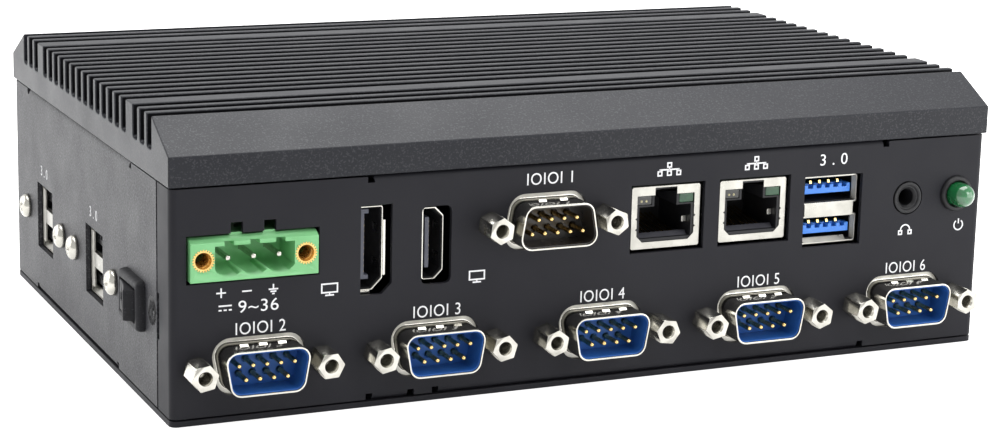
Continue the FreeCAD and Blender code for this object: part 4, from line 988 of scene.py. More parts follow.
def makeLanContacts():
    shape = bmesh.new()
    wire = [(-3.2, 0.12), (-3.0, 0.42), (-3.6, 0.52), (-14.0, 2.16), (-14.0, 1.9), (-3.7, 0.22)]
    addPrism(shape, wire, -0.17, 0.17)
    strip = newPiece("contactPattern", shape, facingFront(0, 0, 0) @ endsSwapped)
    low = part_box("lan_contacts")[0]
    spots = []
    for number in (1, 2):
        place = middle("lan_shield_%d" % number)
        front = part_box("lan_shield_%d" % number)[0].y
        for i in range(lanSocket["contacts"]):
            spots.append((place.x + (i - 3.5) * lanSocket["contactPitch"] * mm, front, low.z - 0.1 * mm))
    piece = onPoints("lanContacts", strip, spots, finishes["gold_contact"])
    dress(piece, "gold_contact", replaced=["lan_contacts"])


for number in (1, 2):
    makeLan(number)
makeLanLights()
makeLanDots()
makeLanContacts()
print("network sockets made")


# stacked usb sockets

usbSocket = {
    "width": 13.4, "tall": 14.6, "depth": 17.0, "wall": 0.35, "corner": 0.6, "bar": 3.2, "rounding": 0.12,
    "lipRun": 0.45, "lipDepth": 1.0, "lipSheet": 0.25, "lipTall": 4.9, "sideBar": 2.2, "sideBarTall": 12.0,
    # lining is the thickness of the dark sheets of painted shade inside the mouths; the back entry is how
    # far behind the front they start
    "sideForward": 0.75, "lining": 0.12, "paintedShadeBack": 0.9,
    "tongueWidth": 11.1, "tongueTall": 1.9, "tongueRecess": 1.0, "tongueBack": 14.0,
    "notches": 5, "notchPitch": 2.05, "notchWidth": 1.1, "notchDeep": 0.75, "notchLong": 1.6,
    "contacts": 4, "contactWidth": 0.55,
}


def usbMouths():
    # one mouth's height, and how far its middle is from the socket's
    size = usbSocket
    opening = (size["tall"] - 2 * size["wall"] - size["bar"]) / 2
    return opening, (size["bar"] + opening) / 2


def usbShellPattern():
    size = usbSocket
    inner = size["width"] - 2 * size["wall"]
    opening, centre = usbMouths()
    shape = bmesh.new()
    addPrism(shape, roundedOutline(box2(size["width"], size["tall"]), size["corner"], 4), -size["depth"],
             0.0)
    piece = newPiece("usbShellPattern", shape)
    tools = bmesh.new()
    for side in (-1, 1):
        outline = roundedOutline(box2(inner, opening, 0.0, side * centre), 0.3, 3)
        addPrism(tools, outline, -size["depth"] - 1, 1.0)
    carve(piece, tools)
    tools = bmesh.new()
    addPrism(tools, box2(inner, size["bar"] - 2 * size["wall"]), -size["depth"] - 1, -size["wall"])
    for side in (-1, 1):
        edge = side * size["width"] / 2
        addPrism(tools, [(edge - 0.75, 0.35 - size["bar"] / 2), (edge + 0.75, 0.35 - size["bar"] / 2),
                         (edge + 0.75, size["bar"] / 2 - 0.35), (edge - 0.75, size["bar"] / 2 - 0.35)],
                         -1.2, 1.0)
    carve(piece, tools)
    soften(piece, size["rounding"])
    lips = bmesh.new()
    run, deep, thin, edge = size["lipRun"], size["lipDepth"], size["lipSheet"], inner / 2
    lipOutline = [(edge + 0.1, -0.02), (edge + 0.1, -thin - 0.1), (edge - run, -deep - thin),
                  (edge - run, -deep)]
    for side in (-1, 1):
        addPrism(lips, lipOutline, side * centre - size["lipTall"] / 2, side * centre + size["lipTall"] / 2)
    lips.transform(depthSwapped)
    lipPiece = newPiece("lips", lips)
    floor = bmesh.new()
    addPrism(floor, [(-centre - opening / 2 - 0.1, -0.02), (-centre - opening / 2 - 0.1, -thin - 0.1),
                     (-centre - opening / 2 + 0.9, -deep - thin), (-centre - opening / 2 + 0.9, -deep)],
             -inner / 2 + 0.5, inner / 2 - 1.9)
    floor.transform(lyingAlongX)
    floorPiece = newPiece("floorLip", floor)
    return smoothByAngle(joined(piece, lipPiece, floorPiece), 32)


def usbTonguePattern():
    size = usbSocket
    opening, centre = usbMouths()
    width, tall = size["tongueWidth"], size["tongueTall"]
    shape = bmesh.new()
    for side in (-1, 1):
        addPrism(shape, box2(width, tall, 0.0, side * centre), -size["tongueBack"], -size["tongueRecess"])
        addPrism(shape, box2(size["width"] - 2 * size["wall"] - 0.1, opening - 0.1, 0.0, side * centre),
                 -size["depth"], -size["tongueBack"])
    piece = newPiece("usbTonguePattern", shape)
    tools = bmesh.new()
    for side in (-1, 1):
        for i in range(size["notches"]):
            u = (i - (size["notches"] - 1) / 2) * size["notchPitch"]
            low = side * centre + tall / 2 - size["notchDeep"]
            addPrism(tools, [(u - size["notchWidth"] / 2, low), (u + size["notchWidth"] / 2, low),
                             (u + size["notchWidth"] / 2 + 0.15, low + 2),
                             (u - size["notchWidth"] / 2 - 0.15, low + 2)],
                     -size["tongueRecess"] - size["notchLong"], 0.0)
    carve(piece, tools)
    return soften(piece, 0.1)


def usbLiningPattern():
    # painted shade: dark sheets along the inside walls of both mouths, standing in for the shade deep in
    # the nickel shell
    size = usbSocket
    thin, back = size["lining"], -size["paintedShadeBack"]
    wide = size["width"] - 2 * size["wall"]
    opening, centre = usbMouths()
    shape = bmesh.new()
    for side in (-1, 1):
        for edge in (-1, 1):
            addPrism(shape, box2(thin, opening, edge * (wide - thin) / 2, side * centre),
                     -size["tongueBack"], back)
            addPrism(shape, box2(wide - 2 * thin, thin, 0.0, side * centre + edge * (opening - thin) / 2),
                     -size["tongueBack"], back)
    return newPiece("usbLiningPattern", shape)


def usbContactPattern():
    size = usbSocket
    shape = bmesh.new()
    wide = size["contactWidth"]
    addPrism(shape, [(-2.4, 0.0), (-2.6, 0.62), (-3.1, 0.78), (-3.7, 0.55), (-5.0, 0.1), (-12.0, 0.1),
                     (-12.0, -0.1)],
             -wide / 2, wide / 2)
    shape.transform(endsSwapped)
    return newPiece("usbContactPattern", shape)


def makeUsb():
    size = usbSocket
    shell, tongue, lining = usbShellPattern(), usbTonguePattern(), usbLiningPattern()
    front = middle("usb_shell")
    places = [("usb_shell", "usbShell", facingFront(front.x, front.z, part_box("usb_shell")[0].y))]
    for number in (1, 2):
        node = "side_usb_shell_%d" % number
        side = middle(node)
        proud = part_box(node)[0].x - size["sideForward"] * mm
        places.append((node, "sideUsbShell%d" % number, facingLeft(side.y, side.z, proud)))
    for node, name, place in places:
        dress(placedCopy(shell, name, place), "bright_nickel", shieldTin, replaced=[node])
        # painted shade: a dark sheet inside each mouth's nickel walls
        dress(placedCopy(lining, name + "Lining", place), "black_moulding")
    dress(placedCopy(tongue, "usbTongues", places[0][2]), "bright_blue_moulding", replaced=["usb_tongues"])
    for number, (node, name, place) in enumerate(places[1:], 1):
        twin = placedCopy(tongue, "sideUsbTongues%d" % number, place)
        dress(twin, "black_moulding", replaced=["side_usb_tongues"])
        bar = bmesh.new()
        barMiddle = size["wall"] - size["width"] / 2 + size["sideBar"] / 2
        barOutline = roundedOutline(box2(size["sideBar"], size["sideBarTall"], barMiddle), 0.4, 4)
        addPrism(bar, barOutline, -0.3, 0.02)
        dress(newPiece("sideUsbBar%d" % number, bar, place), "bright_nickel", satinTin)
    contact = usbContactPattern()
    centre = usbMouths()[1]
    for number, (node, name, place) in enumerate(places):
        spots = [place @ Vector(((i - 1.5) * 2.2 * mm, (side * centre + size["tongueTall"] / 2) * mm, 0.0))
                 for side in (-1, 1) for i in range(size["contacts"])]
        pattern = placedCopy(contact, "contactPattern", place.to_3x3().to_4x4())
        dress(onPoints("usbContacts%d" % number, pattern, spots, finishes["gold_contact"]), "gold_contact")
    for piece in (shell, tongue, lining, contact):
        dropPattern(piece)
    ears = soften(copyOf("side_usb_brackets", "sideUsbEars"), 0.3)
    dress(ears, "black_moulding", replaced=["side_usb_brackets"])


makeUsb()
print("usb sockets made")


# video sockets

videoSockets = {
    "depth": 12.0, "wall": 0.3, "corner": 0.55, "rounding": 0.07, "springTall": 11.0, "springWide": 0.42,
    "one": {"width": 5.4, "tall": 16.8, "cut": 2.1, "both": False, "contacts": 10, "pitch": 1.15},
    "two": {"width": 4.6, "tall": 14.6, "cut": 1.7, "both": True, "contacts": 9, "pitch": 0.95},
}


def videoOutline(form, inset):
    halfWide, halfTall, cut = form["width"] / 2 - inset, form["tall"] / 2 - inset, form["cut"]
    points = [(-halfWide, -halfTall), (halfWide - cut, -halfTall), (halfWide, cut - halfTall)]
    if form["both"]:
        points += [(halfWide, halfTall - cut), (halfWide - cut, halfTall)]
    else:
        points += [(halfWide, halfTall)]
    return roundedOutline(points + [(-halfWide, halfTall)], max(videoSockets["corner"] - inset, 0.15), 4)


def makeVideo(number, form):
    size = videoSockets
    node = "video_shell_%d" % number
    place = facingFront(middle(node).x, middle(node).z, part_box(node)[0].y)
    deep, wall = size["depth"], size["wall"]
    rings = [(videoOutline(form, 0.0), -deep), (videoOutline(form, 0.0), -0.12),
             (videoOutline(form, 0.05), -0.03),
             (videoOutline(form, wall / 2), 0.0), (videoOutline(form, wall - 0.05), -0.03),
             (videoOutline(form, wall), -0.12), (videoOutline(form, wall), -deep),
             (videoOutline(form, 0.0), -deep)]
    shape = bmesh.new()
    addSkin(shape, rings)
    if not form["both"]:
        edge = form["width"] / 2
        addBox(shape, edge - 0.02, edge + size["springWide"], -size["springTall"] / 2,
               size["springTall"] / 2, -3.0, 0.15)
        addBox(shape, -edge + 0.3, edge - form["cut"] - 0.6, -form["tall"] / 2 - 0.5,
               -form["tall"] / 2 + 0.02, -3.0, 0.1)
    piece = newPiece("videoShell%d" % number, shape, place)
    dress(smoothByAngle(piece, 40), "bright_nickel", replaced=[node])
    # painted shade: a dark sheet just inside the shell's nickel walls, from half a mm behind the mouth to
    # the back
    lining = bmesh.new()
    near, far = videoOutline(form, wall + 0.01), videoOutline(form, wall + 0.1)
    addSkin(lining, [(near, -deep + 0.1), (near, -0.5), (far, -0.5), (far, -deep + 0.1),
                     (near, -deep + 0.1)])
    dress(newPiece("videoLining%d" % number, lining, place), "black_moulding")
    # two pressed springs on the inner right wall
    springs = bmesh.new()
    for v in (-form["tall"] * 0.22, form["tall"] * 0.2):
        addPrism(springs, [(form["width"] / 2 - wall + 0.05, -1.2), (form["width"] / 2 - wall - 0.4, -2.6),
                           (form["width"] / 2 - wall - 0.4, -3.6), (form["width"] / 2 - wall + 0.05, -5.5)],
                           v - 0.8, v + 0.8)
    springs.transform(depthSwapped)
    pressed = newPiece("videoSprings%d" % number, springs, place)
    dress(smoothByAngle(pressed, 30), "black_steel")
    tongue = soften(copyOf("video_tongue_%d" % number, "videoTongue%d" % number), 0.08)
    dress(tongue, "black_moulding", greyTongue, replaced=["video_tongue_%d" % number])
    contact = bmesh.new()
    addBox(contact, 0.0, 0.1, -0.17, 0.17, -7.5, 0.0)
    pattern = newPiece("contactPattern", contact, place.to_3x3().to_4x4())
    tip = -form["width"] / 2 + wall + 0.7 + 0.88
    rows = [(i - (form["contacts"] - 1) / 2) * form["pitch"] + 0.3 for i in range(form["contacts"])]
    spots = [place @ Vector((tip * mm, row * mm, -1.25 * mm)) for row in rows]
    dress(onPoints("videoContacts%d" % number, pattern, spots, finishes["gold_contact"]), "gold_contact")


makeVideo(1, videoSockets["one"])
makeVideo(2, videoSockets["two"])
print("video sockets made")


# sound socket and power light

soundSocket = {"ring": 3.4, "proud": 0.2, "bore": 1.8, "boreLength": 14.0, "body": 8.0, "bodyDepth": 14.0}
powerLight = {"holder": 3.9, "holderProud": 1.0, "neck": 3.2, "radius": 2.6, "proud": 5.2, "stem": 8.0}


def addTube(shape, profile, sides=40):
    # a turned ring: the profile closes on itself and stays off the axis
    rings = []
    for radius, height in profile:
        rings.append([shape.verts.new((radius * mm * math.cos(2 * math.pi * i / sides),
                                       radius * mm * math.sin(2 * math.pi * i / sides), height * mm))
                      for i in range(sides)])
    closeRings(shape, rings)


def makeSoundSocket():
    size = soundSocket
    ring, out, bore = size["ring"], size["proud"], size["bore"]
    behind = -(panelBack - frontY) / mm
    place = middle("audio_socket")
    shape = bmesh.new()
    addPrism(shape, roundedOutline(box2(size["body"], size["body"]), 0.4, 3), behind - size["bodyDepth"],
             behind)
    piece = newPiece("soundSocket", shape)
    nozzle = bmesh.new()
    addLathe(nozzle, [(0.0, behind - 0.5), (ring, behind - 0.5), (ring, out - 0.16),
                      (ring - 0.05, out - 0.05),
                      (ring - 0.18, out), (ring - 0.5, out), (ring - 0.66, out - 0.06),
                      (ring - 0.78, out - 0.2),
                      (ring - 0.82, out - 0.34), (ring - 0.95, out - 0.42), (0.0, out - 0.42)], 48)
    carve(piece, nozzle, "UNION")
    tools = bmesh.new()
    addLathe(tools, [(0.0, 1.0), (ring - 0.95, 1.0), (ring - 0.95, out - 0.3), (bore + 0.12, out - 0.75),
                     (bore, out - 0.95),
                     (bore, -5.0), (bore + 0.25, -5.1), (bore + 0.25, -6.0), (bore, -6.1),
                     (bore, behind - size["boreLength"] + 0.6), (0.0, behind - size["boreLength"] + 0.6)],
                     48)
    carve(piece, tools)
    piece.data.transform(facingFront(place.x, place.z))
    dress(smoothByAngle(piece, 30), "black_moulding", replaced=["audio_socket"])


def makePowerLight():
    size = powerLight
    place = middle("light_lens")
    out, holder, lamp = size["holderProud"], size["holder"], size["radius"]
    shape = bmesh.new()
    addTube(shape, [(lamp + 0.05, -2.8), (lamp + 0.05, out - 0.5), (lamp + 0.3, out - 0.18),
                    (lamp + 0.42, out - 0.02),
                    (holder - 0.75, out), (holder - 0.3, out - 0.1), (holder - 0.08, out - 0.36),
                    (holder, out - 0.6),
                    (holder, 0.0), (size["neck"], 0.0), (size["neck"], -1.1), (size["neck"] + 0.55, -1.15),
                    (size["neck"], -2.8)], 48)
    ring = newPiece("lightHolder", shape, facingFront(place.x, place.z))
    dress(smoothByAngle(ring, 30), "black_moulding", replaced=["light_holder"])
    lens = bmesh.new()
    profile = [(0.0, size["proud"])] + [(lamp * math.sin(a), size["proud"] - lamp * (1 - math.cos(a)))
                                        for a in (math.pi / 2 * i / 10 for i in range(1, 11))]
    profile += [(lamp, size["proud"] - size["stem"]), (0.0, size["proud"] - size["stem"])]
    addLathe(lens, profile, 48)
    dome = newPiece("lightLens", lens, facingFront(place.x, place.z))
    dress(smoothByAngle(dome, 50), "green_lens", replaced=["light_lens"])


makeSoundSocket()
makePowerLight()
print("sound socket and light made")


# power header

powerHeader = {
    "width": 25.4, "tall": 8.4, "depth": 12.0, "topChamfer": 0.9, "rounding": 0.14, "cavityWidth": 15.8,
    "cavityDepth": 9.0, "cavityTop": 2.6, "cavityBottom": 3.4, "pitch": 5.08,
    "notchWidth": 1.9, "notchTop": 3.45, "notchDepth": 4.0, "lugWidth": 2.4, "lugTall": 0.5,
    "lugOffset": 3.3,
    "insertSpacing": 20.32, "insertRadius": 2.0, "insertBore": 1.35, "insertLength": 7.0, "knurls": 24,
}


def makeHeader():
    size = powerHeader
    low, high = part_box("power_header")
    place = facingFront((low.x + high.x) / 2, low.z + size["tall"] / 2 * mm, low.y)
    half, deep = size["tall"] / 2, size["depth"]
    shape = bmesh.new()
    addPrism(shape, box2(size["width"], size["tall"]), -deep, 0.0)
    piece = newPiece("powerHeader", shape)
    chamfer = size["topChamfer"]
    tools = bmesh.new()
    bevelOutline = [(half - chamfer, 0.0), (half, -2 * chamfer), (half + 1, -2 * chamfer - 0.5),
                    (half + 1, 0.5),
                    (half - chamfer, 0.5)]
    addPrism(tools, bevelOutline, -size["width"], size["width"])
    tools.transform(lyingAlongX)
    carve(piece, tools)
    soften(piece, size["rounding"], 3)
    lugs = bmesh.new()
    for side in (-1, 1):
        lug = box2(size["lugWidth"], 2 * size["lugTall"], side * size["lugOffset"], half)
        addPrism(lugs, roundedOutline(lug, 0.18, 3), -deep + 0.5, -2 * chamfer)
    carve(piece, lugs, "UNION")
    tools = bmesh.new()
    side, radius, pitch = size["cavityWidth"] / 2, size["cavityBottom"], size["pitch"]
    floor = [(u, -math.sqrt(radius ** 2 - (u - pitch * round(u / pitch)) ** 2) if abs(u) < 1.5 * pitch else
              -math.sqrt(radius ** 2 - (abs(u) - pitch) ** 2))
             for u in (side * (i / 30 - 1) for i in range(61))]
    addPrism(tools, floor + [(side, size["cavityTop"]), (-side, size["cavityTop"])], -size["cavityDepth"],
             1.0)
    for i in (-1, 0, 1):
        addBox(tools, i * pitch - size["notchWidth"] / 2, i * pitch + size["notchWidth"] / 2,
               0.5, size["notchTop"], -size["notchDepth"], 1.0)
        addBox(tools, i * size["pitch"] - 0.5, i * size["pitch"] + 0.5, -0.5, 0.5, -deep - 1, 0.5)
    for side in (-1, 1):
        addLathe(tools, [(size["insertRadius"], -size["insertLength"]), (size["insertRadius"], 1.0)], 40,
                 (side * size["insertSpacing"] / 2, 0.0))
    carve(piece, tools)
    piece.data.transform(place)
    dress(smoothByAngle(piece, 28), "green_moulding", replaced=["power_header"])
    pins = soften(copyOf("power_pins", "powerPins"), 0.3, 3)
    dress(pins, "plated_steel", replaced=["power_pins"])
    makeInserts(place)


def makeInserts(place):
    size = powerHeader
    radius, bore = size["insertRadius"], size["insertBore"]
    profile = [(radius, -size["insertLength"]), (radius, -0.1), (radius - 0.08, 0.0), (bore + 0.28, 0.0),
               (bore, -0.5)]
    depth = -0.4
    while depth > -4.4:
        profile += [(bore + 0.17, depth - 0.2), (bore, depth - 0.4)]
        depth -= 0.4
    profile += [(bore, -size["insertLength"])]
    shape = bmesh.new()
    for side in (-1, 1):
        sleeve = bmesh.new()
        addTube(sleeve, profile, 36)
        sleeve.transform(Matrix.Translation((side * size["insertSpacing"] / 2 * mm, 0, 0)))
        joinTo(shape, sleeve)
    sleeves = newPiece("powerInserts", shape, place)
    dress(smoothByAngle(sleeves, 30), "brass", replaced=["power_inserts"])
    outward = Matrix.Translation((0, (radius - 0.06) * mm, 0))
    tooth = bmesh.new()
    addPrism(tooth, [(-0.17, -0.1), (0.17, -0.1), (0.1, 0.26), (-0.1, 0.26)], -0.7, 0.05)
    for side in (-1, 1):
        ring = bmesh.new()
        for i in range(size["knurls"]):
            angle = 2 * math.pi * i / size["knurls"]
            step = tooth.copy()
            step.transform(Matrix.Translation((side * size["insertSpacing"] / 2 * mm, 0, 0)) @
                           Matrix.Rotation(angle, 4, "Z") @ outward)
            joinTo(ring, step)
        knurl = newPiece("insertKnurl%d" % (1 if side < 0 else 2), ring, place)
        dress(knurl, "brass")
    tooth.free()


makeHeader()
print("power header made")


# rocker switch

rockerSwitch = {
    "bezelLong": 14.0, "bezelTall": 10.2, "bezelProud": 1.8, "bezelCorner": 1.3, "bodyDepth": 12.0,
    "bodyLong": 11.9, "bodyTall": 9.5, "pocketLong": 10.8, "pocketTall": 6.8, "pocketDepth": 8.0,
    "radius": 5.1, "width": 6.2, "corner": 26.7, "dip": 0.35, "skirt": 2.56, "restTurn": -12.0,
    "markHeight": 1.9, "markWidth": 0.34, "markProud": 0.12, "rounding": 0.3,
}


def makeSwitchHousing():
    size = rockerSwitch
    low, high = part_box("switch_housing")
    place = facingLeft((low.y + high.y) / 2, (low.z + high.z) / 2)
    long, tall, corner, out = size["bezelLong"], size["bezelTall"], size["bezelCorner"], size["bezelProud"]

    def ring(width, height, radius, level):
        return roundedOutline(box2(width, height), radius, 5), level

    rings = [ring(size["bodyLong"], size["bodyTall"], 0.3, -size["bodyDepth"]),
             ring(size["bodyLong"], size["bodyTall"], 0.3, 0.0), ring(long, tall, corner, 0.0)]
    for inset, level in ((0.0, 0.55), (0.06, 0.95), (0.14, 1.25), (0.3, 1.52), (0.5, 1.7), (0.75, out)):
        rings.append(ring(long - 2 * inset, tall - 2 * inset, corner - inset * 0.8, level))
    pocketLong, pocketTall = size["pocketLong"], size["pocketTall"]
    rings += [ring(pocketLong + 0.5, pocketTall + 0.5, 0.45, out),
              ring(pocketLong + 0.15, pocketTall + 0.15, 0.35, out - 0.12),
              ring(pocketLong, pocketTall, 0.3, out - 0.35),
              ring(pocketLong, pocketTall, 0.3, out - size["pocketDepth"] - 1.8)]
    shape = bmesh.new()
    loops = addSkin(shape, rings)
    shape.faces.new(loops[0])
    shape.faces.new(loops[-1])
    piece = newPiece("switchHousing", shape, place)
    dress(smoothByAngle(piece, 32), "black_moulding", rockerFinish, replaced=["switch_housing"])
    terminals = soften(copyOf("switch_terminals", "switchTerminals"), 0.15)
    dress(terminals, "plated_steel", replaced=["switch_terminals"])


def makeRocker():
    size = rockerSwitch
    joint = frame["joints"][0]
    pivot = Vector(joint["pos_m"])
    radius, rise = size["radius"], math.radians(size["corner"])
    along, out = radius * math.cos(rise), radius * math.sin(rise)
    dip = size["dip"]
    outline = []
    for i in range(13):
        u = -along + 2 * along * i / 12
        outline.append((u, out - dip * (1 - (u / along) ** 2)))
    below = math.asin(size["skirt"] / radius)
    for i in range(1, 9):
        angle = rise - (rise + below) * i / 8
        outline.append((radius * math.cos(angle), radius * math.sin(angle)))
    outline += [(-u, w) for u, w in reversed(outline[13:])]
    shape = bmesh.new()
    addPrism(shape, outline, -size["width"] / 2, size["width"] / 2)
    piece = newPiece("rockerPaddle", shape)
    soften(piece, size["rounding"], 3, 28)
    marks = bmesh.new()
    spot = 2.75
    face = out - dip * (1 - (spot / along) ** 2)
    tall, wide = size["markHeight"], size["markWidth"]
    addBox(marks, -spot - wide / 2, -spot + wide / 2, face - 0.3, face + size["markProud"], -tall / 2,
           tall / 2)
    ringMark = bmesh.new()
    sides = 28
    rings = [[ringMark.verts.new(((r * math.cos(a) * 0.8 + spot) * mm, level * mm, r * math.sin(a) * mm))
              for a in (2 * math.pi * i / sides for i in range(sides))]
             for r, level in ((tall / 2, face - 0.3), (tall / 2, face + size["markProud"]),
                              (tall / 2 - wide, face + size["markProud"]), (tall / 2 - wide, face - 0.3))]
    closeRings(ringMark, rings)
    carve(piece, marks, "UNION")
    carve(piece, ringMark, "UNION")
    axle = bmesh.new()
    addLathe(axle, [(0.6, -size["width"] / 2 - 0.8), (0.6, size["width"] / 2 + 0.8)], 20)
    carve(piece, axle, "UNION")
    turn = Matrix(((0, -1, 0, 0), (1, 0, 0, 0), (0, 0, 1, 0), (0, 0, 0, 1)))
    rest = Matrix.Rotation(math.radians(size["restTurn"]), 4, "Z")
    piece.data.transform(Matrix.Translation(pivot) @ rest @ turn)
    dress(smoothByAngle(piece, 28), "black_moulding", rockerFinish, body="rocker", replaced=["rocker"])


makeSwitchHousing()
makeRocker()
print("rocker switch made")


# screws in sight

screwHeads = {"panRadius": 2.7, "panTall": 1.9, "flatRadius": 2.98, "flatDepth": 0.9, "crossWidth": 0.72,
              "crossReach": 1.55, "crossDepth": 1.15, "shank": 1.38}


def crossTools(top, reach):
    size = screwHeads
    tools = bmesh.new()
    wide = size["crossWidth"] / 2
    for turn in (0, 1):
        arm = bmesh.new()
        rings = [(box2(2 * reach + 0.4, 2 * wide + 0.12), top + 0.6), (box2(2 * reach, 2 * wide), top),
                 (box2(reach, 1.3 * wide), top - size["crossDepth"])]
        loops = addSkin(arm, rings)
        arm.faces.new(loops[0])
        arm.faces.new(loops[-1])
        arm.transform(Matrix.Rotation(math.pi / 2 * turn, 4, "Z"))
        joinTo(tools, arm)
    return tools


def panScrewPattern():
    size = screwHeads
    radius, tall = size["panRadius"], size["panTall"]
    profile = [(0.0, tall), (radius * 0.35, tall - 0.03), (radius * 0.6, tall - 0.16),
               (radius * 0.8, tall - 0.42),
               (radius * 0.93, tall - 0.8), (radius, tall - 1.25), (radius, 0.12), (radius - 0.12, 0.0),
               (size["shank"], 0.0), (size["shank"], -3.8), (0.0, -4.0)]
    shape = bmesh.new()
    addLathe(shape, profile, 36)
    piece = newPiece("panScrewPattern", shape)
    carve(piece, crossTools(tall, size["crossReach"]))
    soften(piece, 0.05, 1, 40)
    return piece


def flatScrewPattern():
    size = screwHeads
    radius, deep = size["flatRadius"], size["flatDepth"]
    shape = bmesh.new()
    addLathe(shape, [(0.0, -0.03), (radius - 0.12, -0.03), (radius, -0.1), (size["shank"], -deep),
                     (size["shank"], -2.9),
                     (0.0, -2.9)], 36)
    piece = newPiece("flatScrewPattern", shape)
    carve(piece, crossTools(0.0, size["crossReach"] * 0.95))
    return soften(piece, 0.05, 1, 40)


def makeScrews():
    pan, flat = panScrewPattern(), flatScrewPattern()
    toLeft = facingLeft(0, 0, 0)
    spots = [(leftX, (low.y + high.y) / 2, (low.z + high.z) / 2) for low, high in lumps("side_usb_screws")]
    pattern = placedCopy(pan, "panPattern", toLeft)
    screws = onPoints("sideUsbScrews", pattern, spots, finishes["plated_steel"], turn=math.pi, seed=5,
                      axis=(1.0, 0.0, 0.0))
    dress(screws, "plated_steel", replaced=["side_usb_screws"])
    ends = lumps("panel_screws")
    for number, (low, high) in enumerate(ends, 1):
        left = low.x < 0
        place = facingLeft((low.y + high.y) / 2, (low.z + high.z) / 2, low.x) if left else \
            Matrix.Translation((high.x, (low.y + high.y) / 2, (low.z + high.z) / 2)) @ \
            Matrix.Rotation(math.pi, 4, "Z") @ toLeft
        twin = placedCopy(flat, "sideFlatScrew%d" % number, place @ Matrix.Rotation(0.5 * number, 4, "Z"))
        dress(smoothByAngle(twin, 30), "black_steel", replaced=["panel_screws"])
    spots = [((low.x + high.x) / 2, (low.y + high.y) / 2, low.z) for low, high in lumps("cover_screws")]
    pattern = placedCopy(flat, "coverPattern", Matrix.Rotation(math.pi, 4, "X"))
    covers = onPoints("coverScrews", pattern, spots, finishes["black_steel"], turn=math.pi, seed=3,
                      axis=(0.0, 0.0, 1.0))
    dress(smoothByAngle(covers, 30), "black_steel", replaced=["cover_screws"])
    for piece in (pan, flat):
        dropPattern(piece)


makeScrews()
print("screws made")


# printed marks

inkMarks = {"height": 2.4, "line": 0.3, "thick": 0.03}


def inkText(name, words, width=None, height=None):
    curve = bpy.data.curves.new(name, "FONT")
    curve.body = words
    curve.size = 4 * mm
    curve.extrude = inkMarks["thick"] / 2 * mm
    curve.resolution_u = 5
    curve.space_character = 1.08
    holder = linked(name, curve)
    bpy.context.view_layer.update()
    graph = bpy.context.evaluated_depsgraph_get()
    mesh = bpy.data.meshes.new_from_object(holder.evaluated_get(graph))
    bpy.data.objects.remove(holder)
    points = [v.co for v in mesh.vertices]
    low = Vector(min(p[i] for p in points) for i in range(3))
    high = Vector(max(p[i] for p in points) for i in range(3))
    tall = (height or inkMarks["height"]) * mm
    scaleY = tall / (high.y - low.y)
    scaleX = scaleY if width is None else width * mm / (high.x - low.x)
    centre = (low + high) / 2
    mesh.transform(Matrix.Diagonal((scaleX, scaleY, 1, 1)) @ Matrix.Translation((-centre.x, -centre.y, 0)))
    return linked(name, mesh)


def addStroke(shape, points, closed=False):
    # a flat line of the ink's width through the points, in mm
    half, thick = inkMarks["line"] / 2, inkMarks["thick"] / 2
    count = len(points)
    sides = [[], []]
    for i, point in enumerate(points):
        here = Vector(point)
        before = Vector(points[i - 1]) if (i or closed) else None
        after = Vector(points[(i + 1) % count]) if (i < count - 1 or closed) else None
        inward = (here - before).normalized() if before is not None else (after - here).normalized()
        onward = (after - here).normalized() if after is not None else inward
        across = Vector((-inward.y - onward.y, inward.x + onward.x)).normalized()
        reach = half / max(0.35, across.dot(Vector((-onward.y, onward.x))))
        sides[0].append(here + across * reach)
        sides[1].append(here - across * reach)
    if closed:
        rings = [[shape.verts.new((p.x * mm, p.y * mm, level * mm)) for p in side]
                 for side, level in ((sides[0], -thick), (sides[0], thick), (sides[1], thick),
                                     (sides[1], -thick))]
        closeRings(shape, rings)
        return
    outline = sides[0] + sides[1][::-1]
    addPrism(shape, [tuple(p) for p in outline], -thick, thick)


def arcPoints(radius, start, end, steps=10, centre=(0.0, 0.0)):
    turns = [math.radians(start + (end - start) * i / steps) for i in range(steps + 1)]
    return [(centre[0] + radius * math.cos(turn), centre[1] + radius * math.sin(turn)) for turn in turns]


def icon(name, strokes):
    shape = bmesh.new()
    for points, closed in strokes:
        addStroke(shape, points, closed)
    return newPiece(name, shape)


def printOn(piece, x, z, side=False, material=None):
    place = facingLeft(x * mm, z * mm) if side else facingFront(x * mm, z * mm)
    piece.data.transform(place @ Matrix.Translation((0, 0, inkMarks["thick"] / 2 * mm)))
    dress(piece, "clear_lens", material or whiteInk)


def square(u, v, half):
    return box2(2 * half, 2 * half, u, v)


# right and up from the middle of the piece that a mark belongs to
markPlaces = {
    "serial": (0.3, 7.35), "firstSerial": (0.3, 8.6), "lan": (0.0, 10.1), "usb": (-0.3, 11.1),
    "sound": (-0.2, -6.9), "light": (1.2, -7.0), "voltage": (1.0, -10.0), "direct": (-5.6, -10.0),
    "plus": (-6.4, -7.0), "minus": (-1.3, -7.0), "ground": (3.95, -7.0), "video1": (-8.8, -7.1),
    "video2": (8.9, -7.1), "sideUsb": (0.2, 10.7),
}


def printBeside(piece, node, key, side=False, material=None):
    place = middle(node) / mm
    right, up = markPlaces[key]
    printOn(piece, (place.y if side else place.x) + right, place.z + up, side, material)


def line(*points):
    return list(points), False


def loop(points):
    return points, True


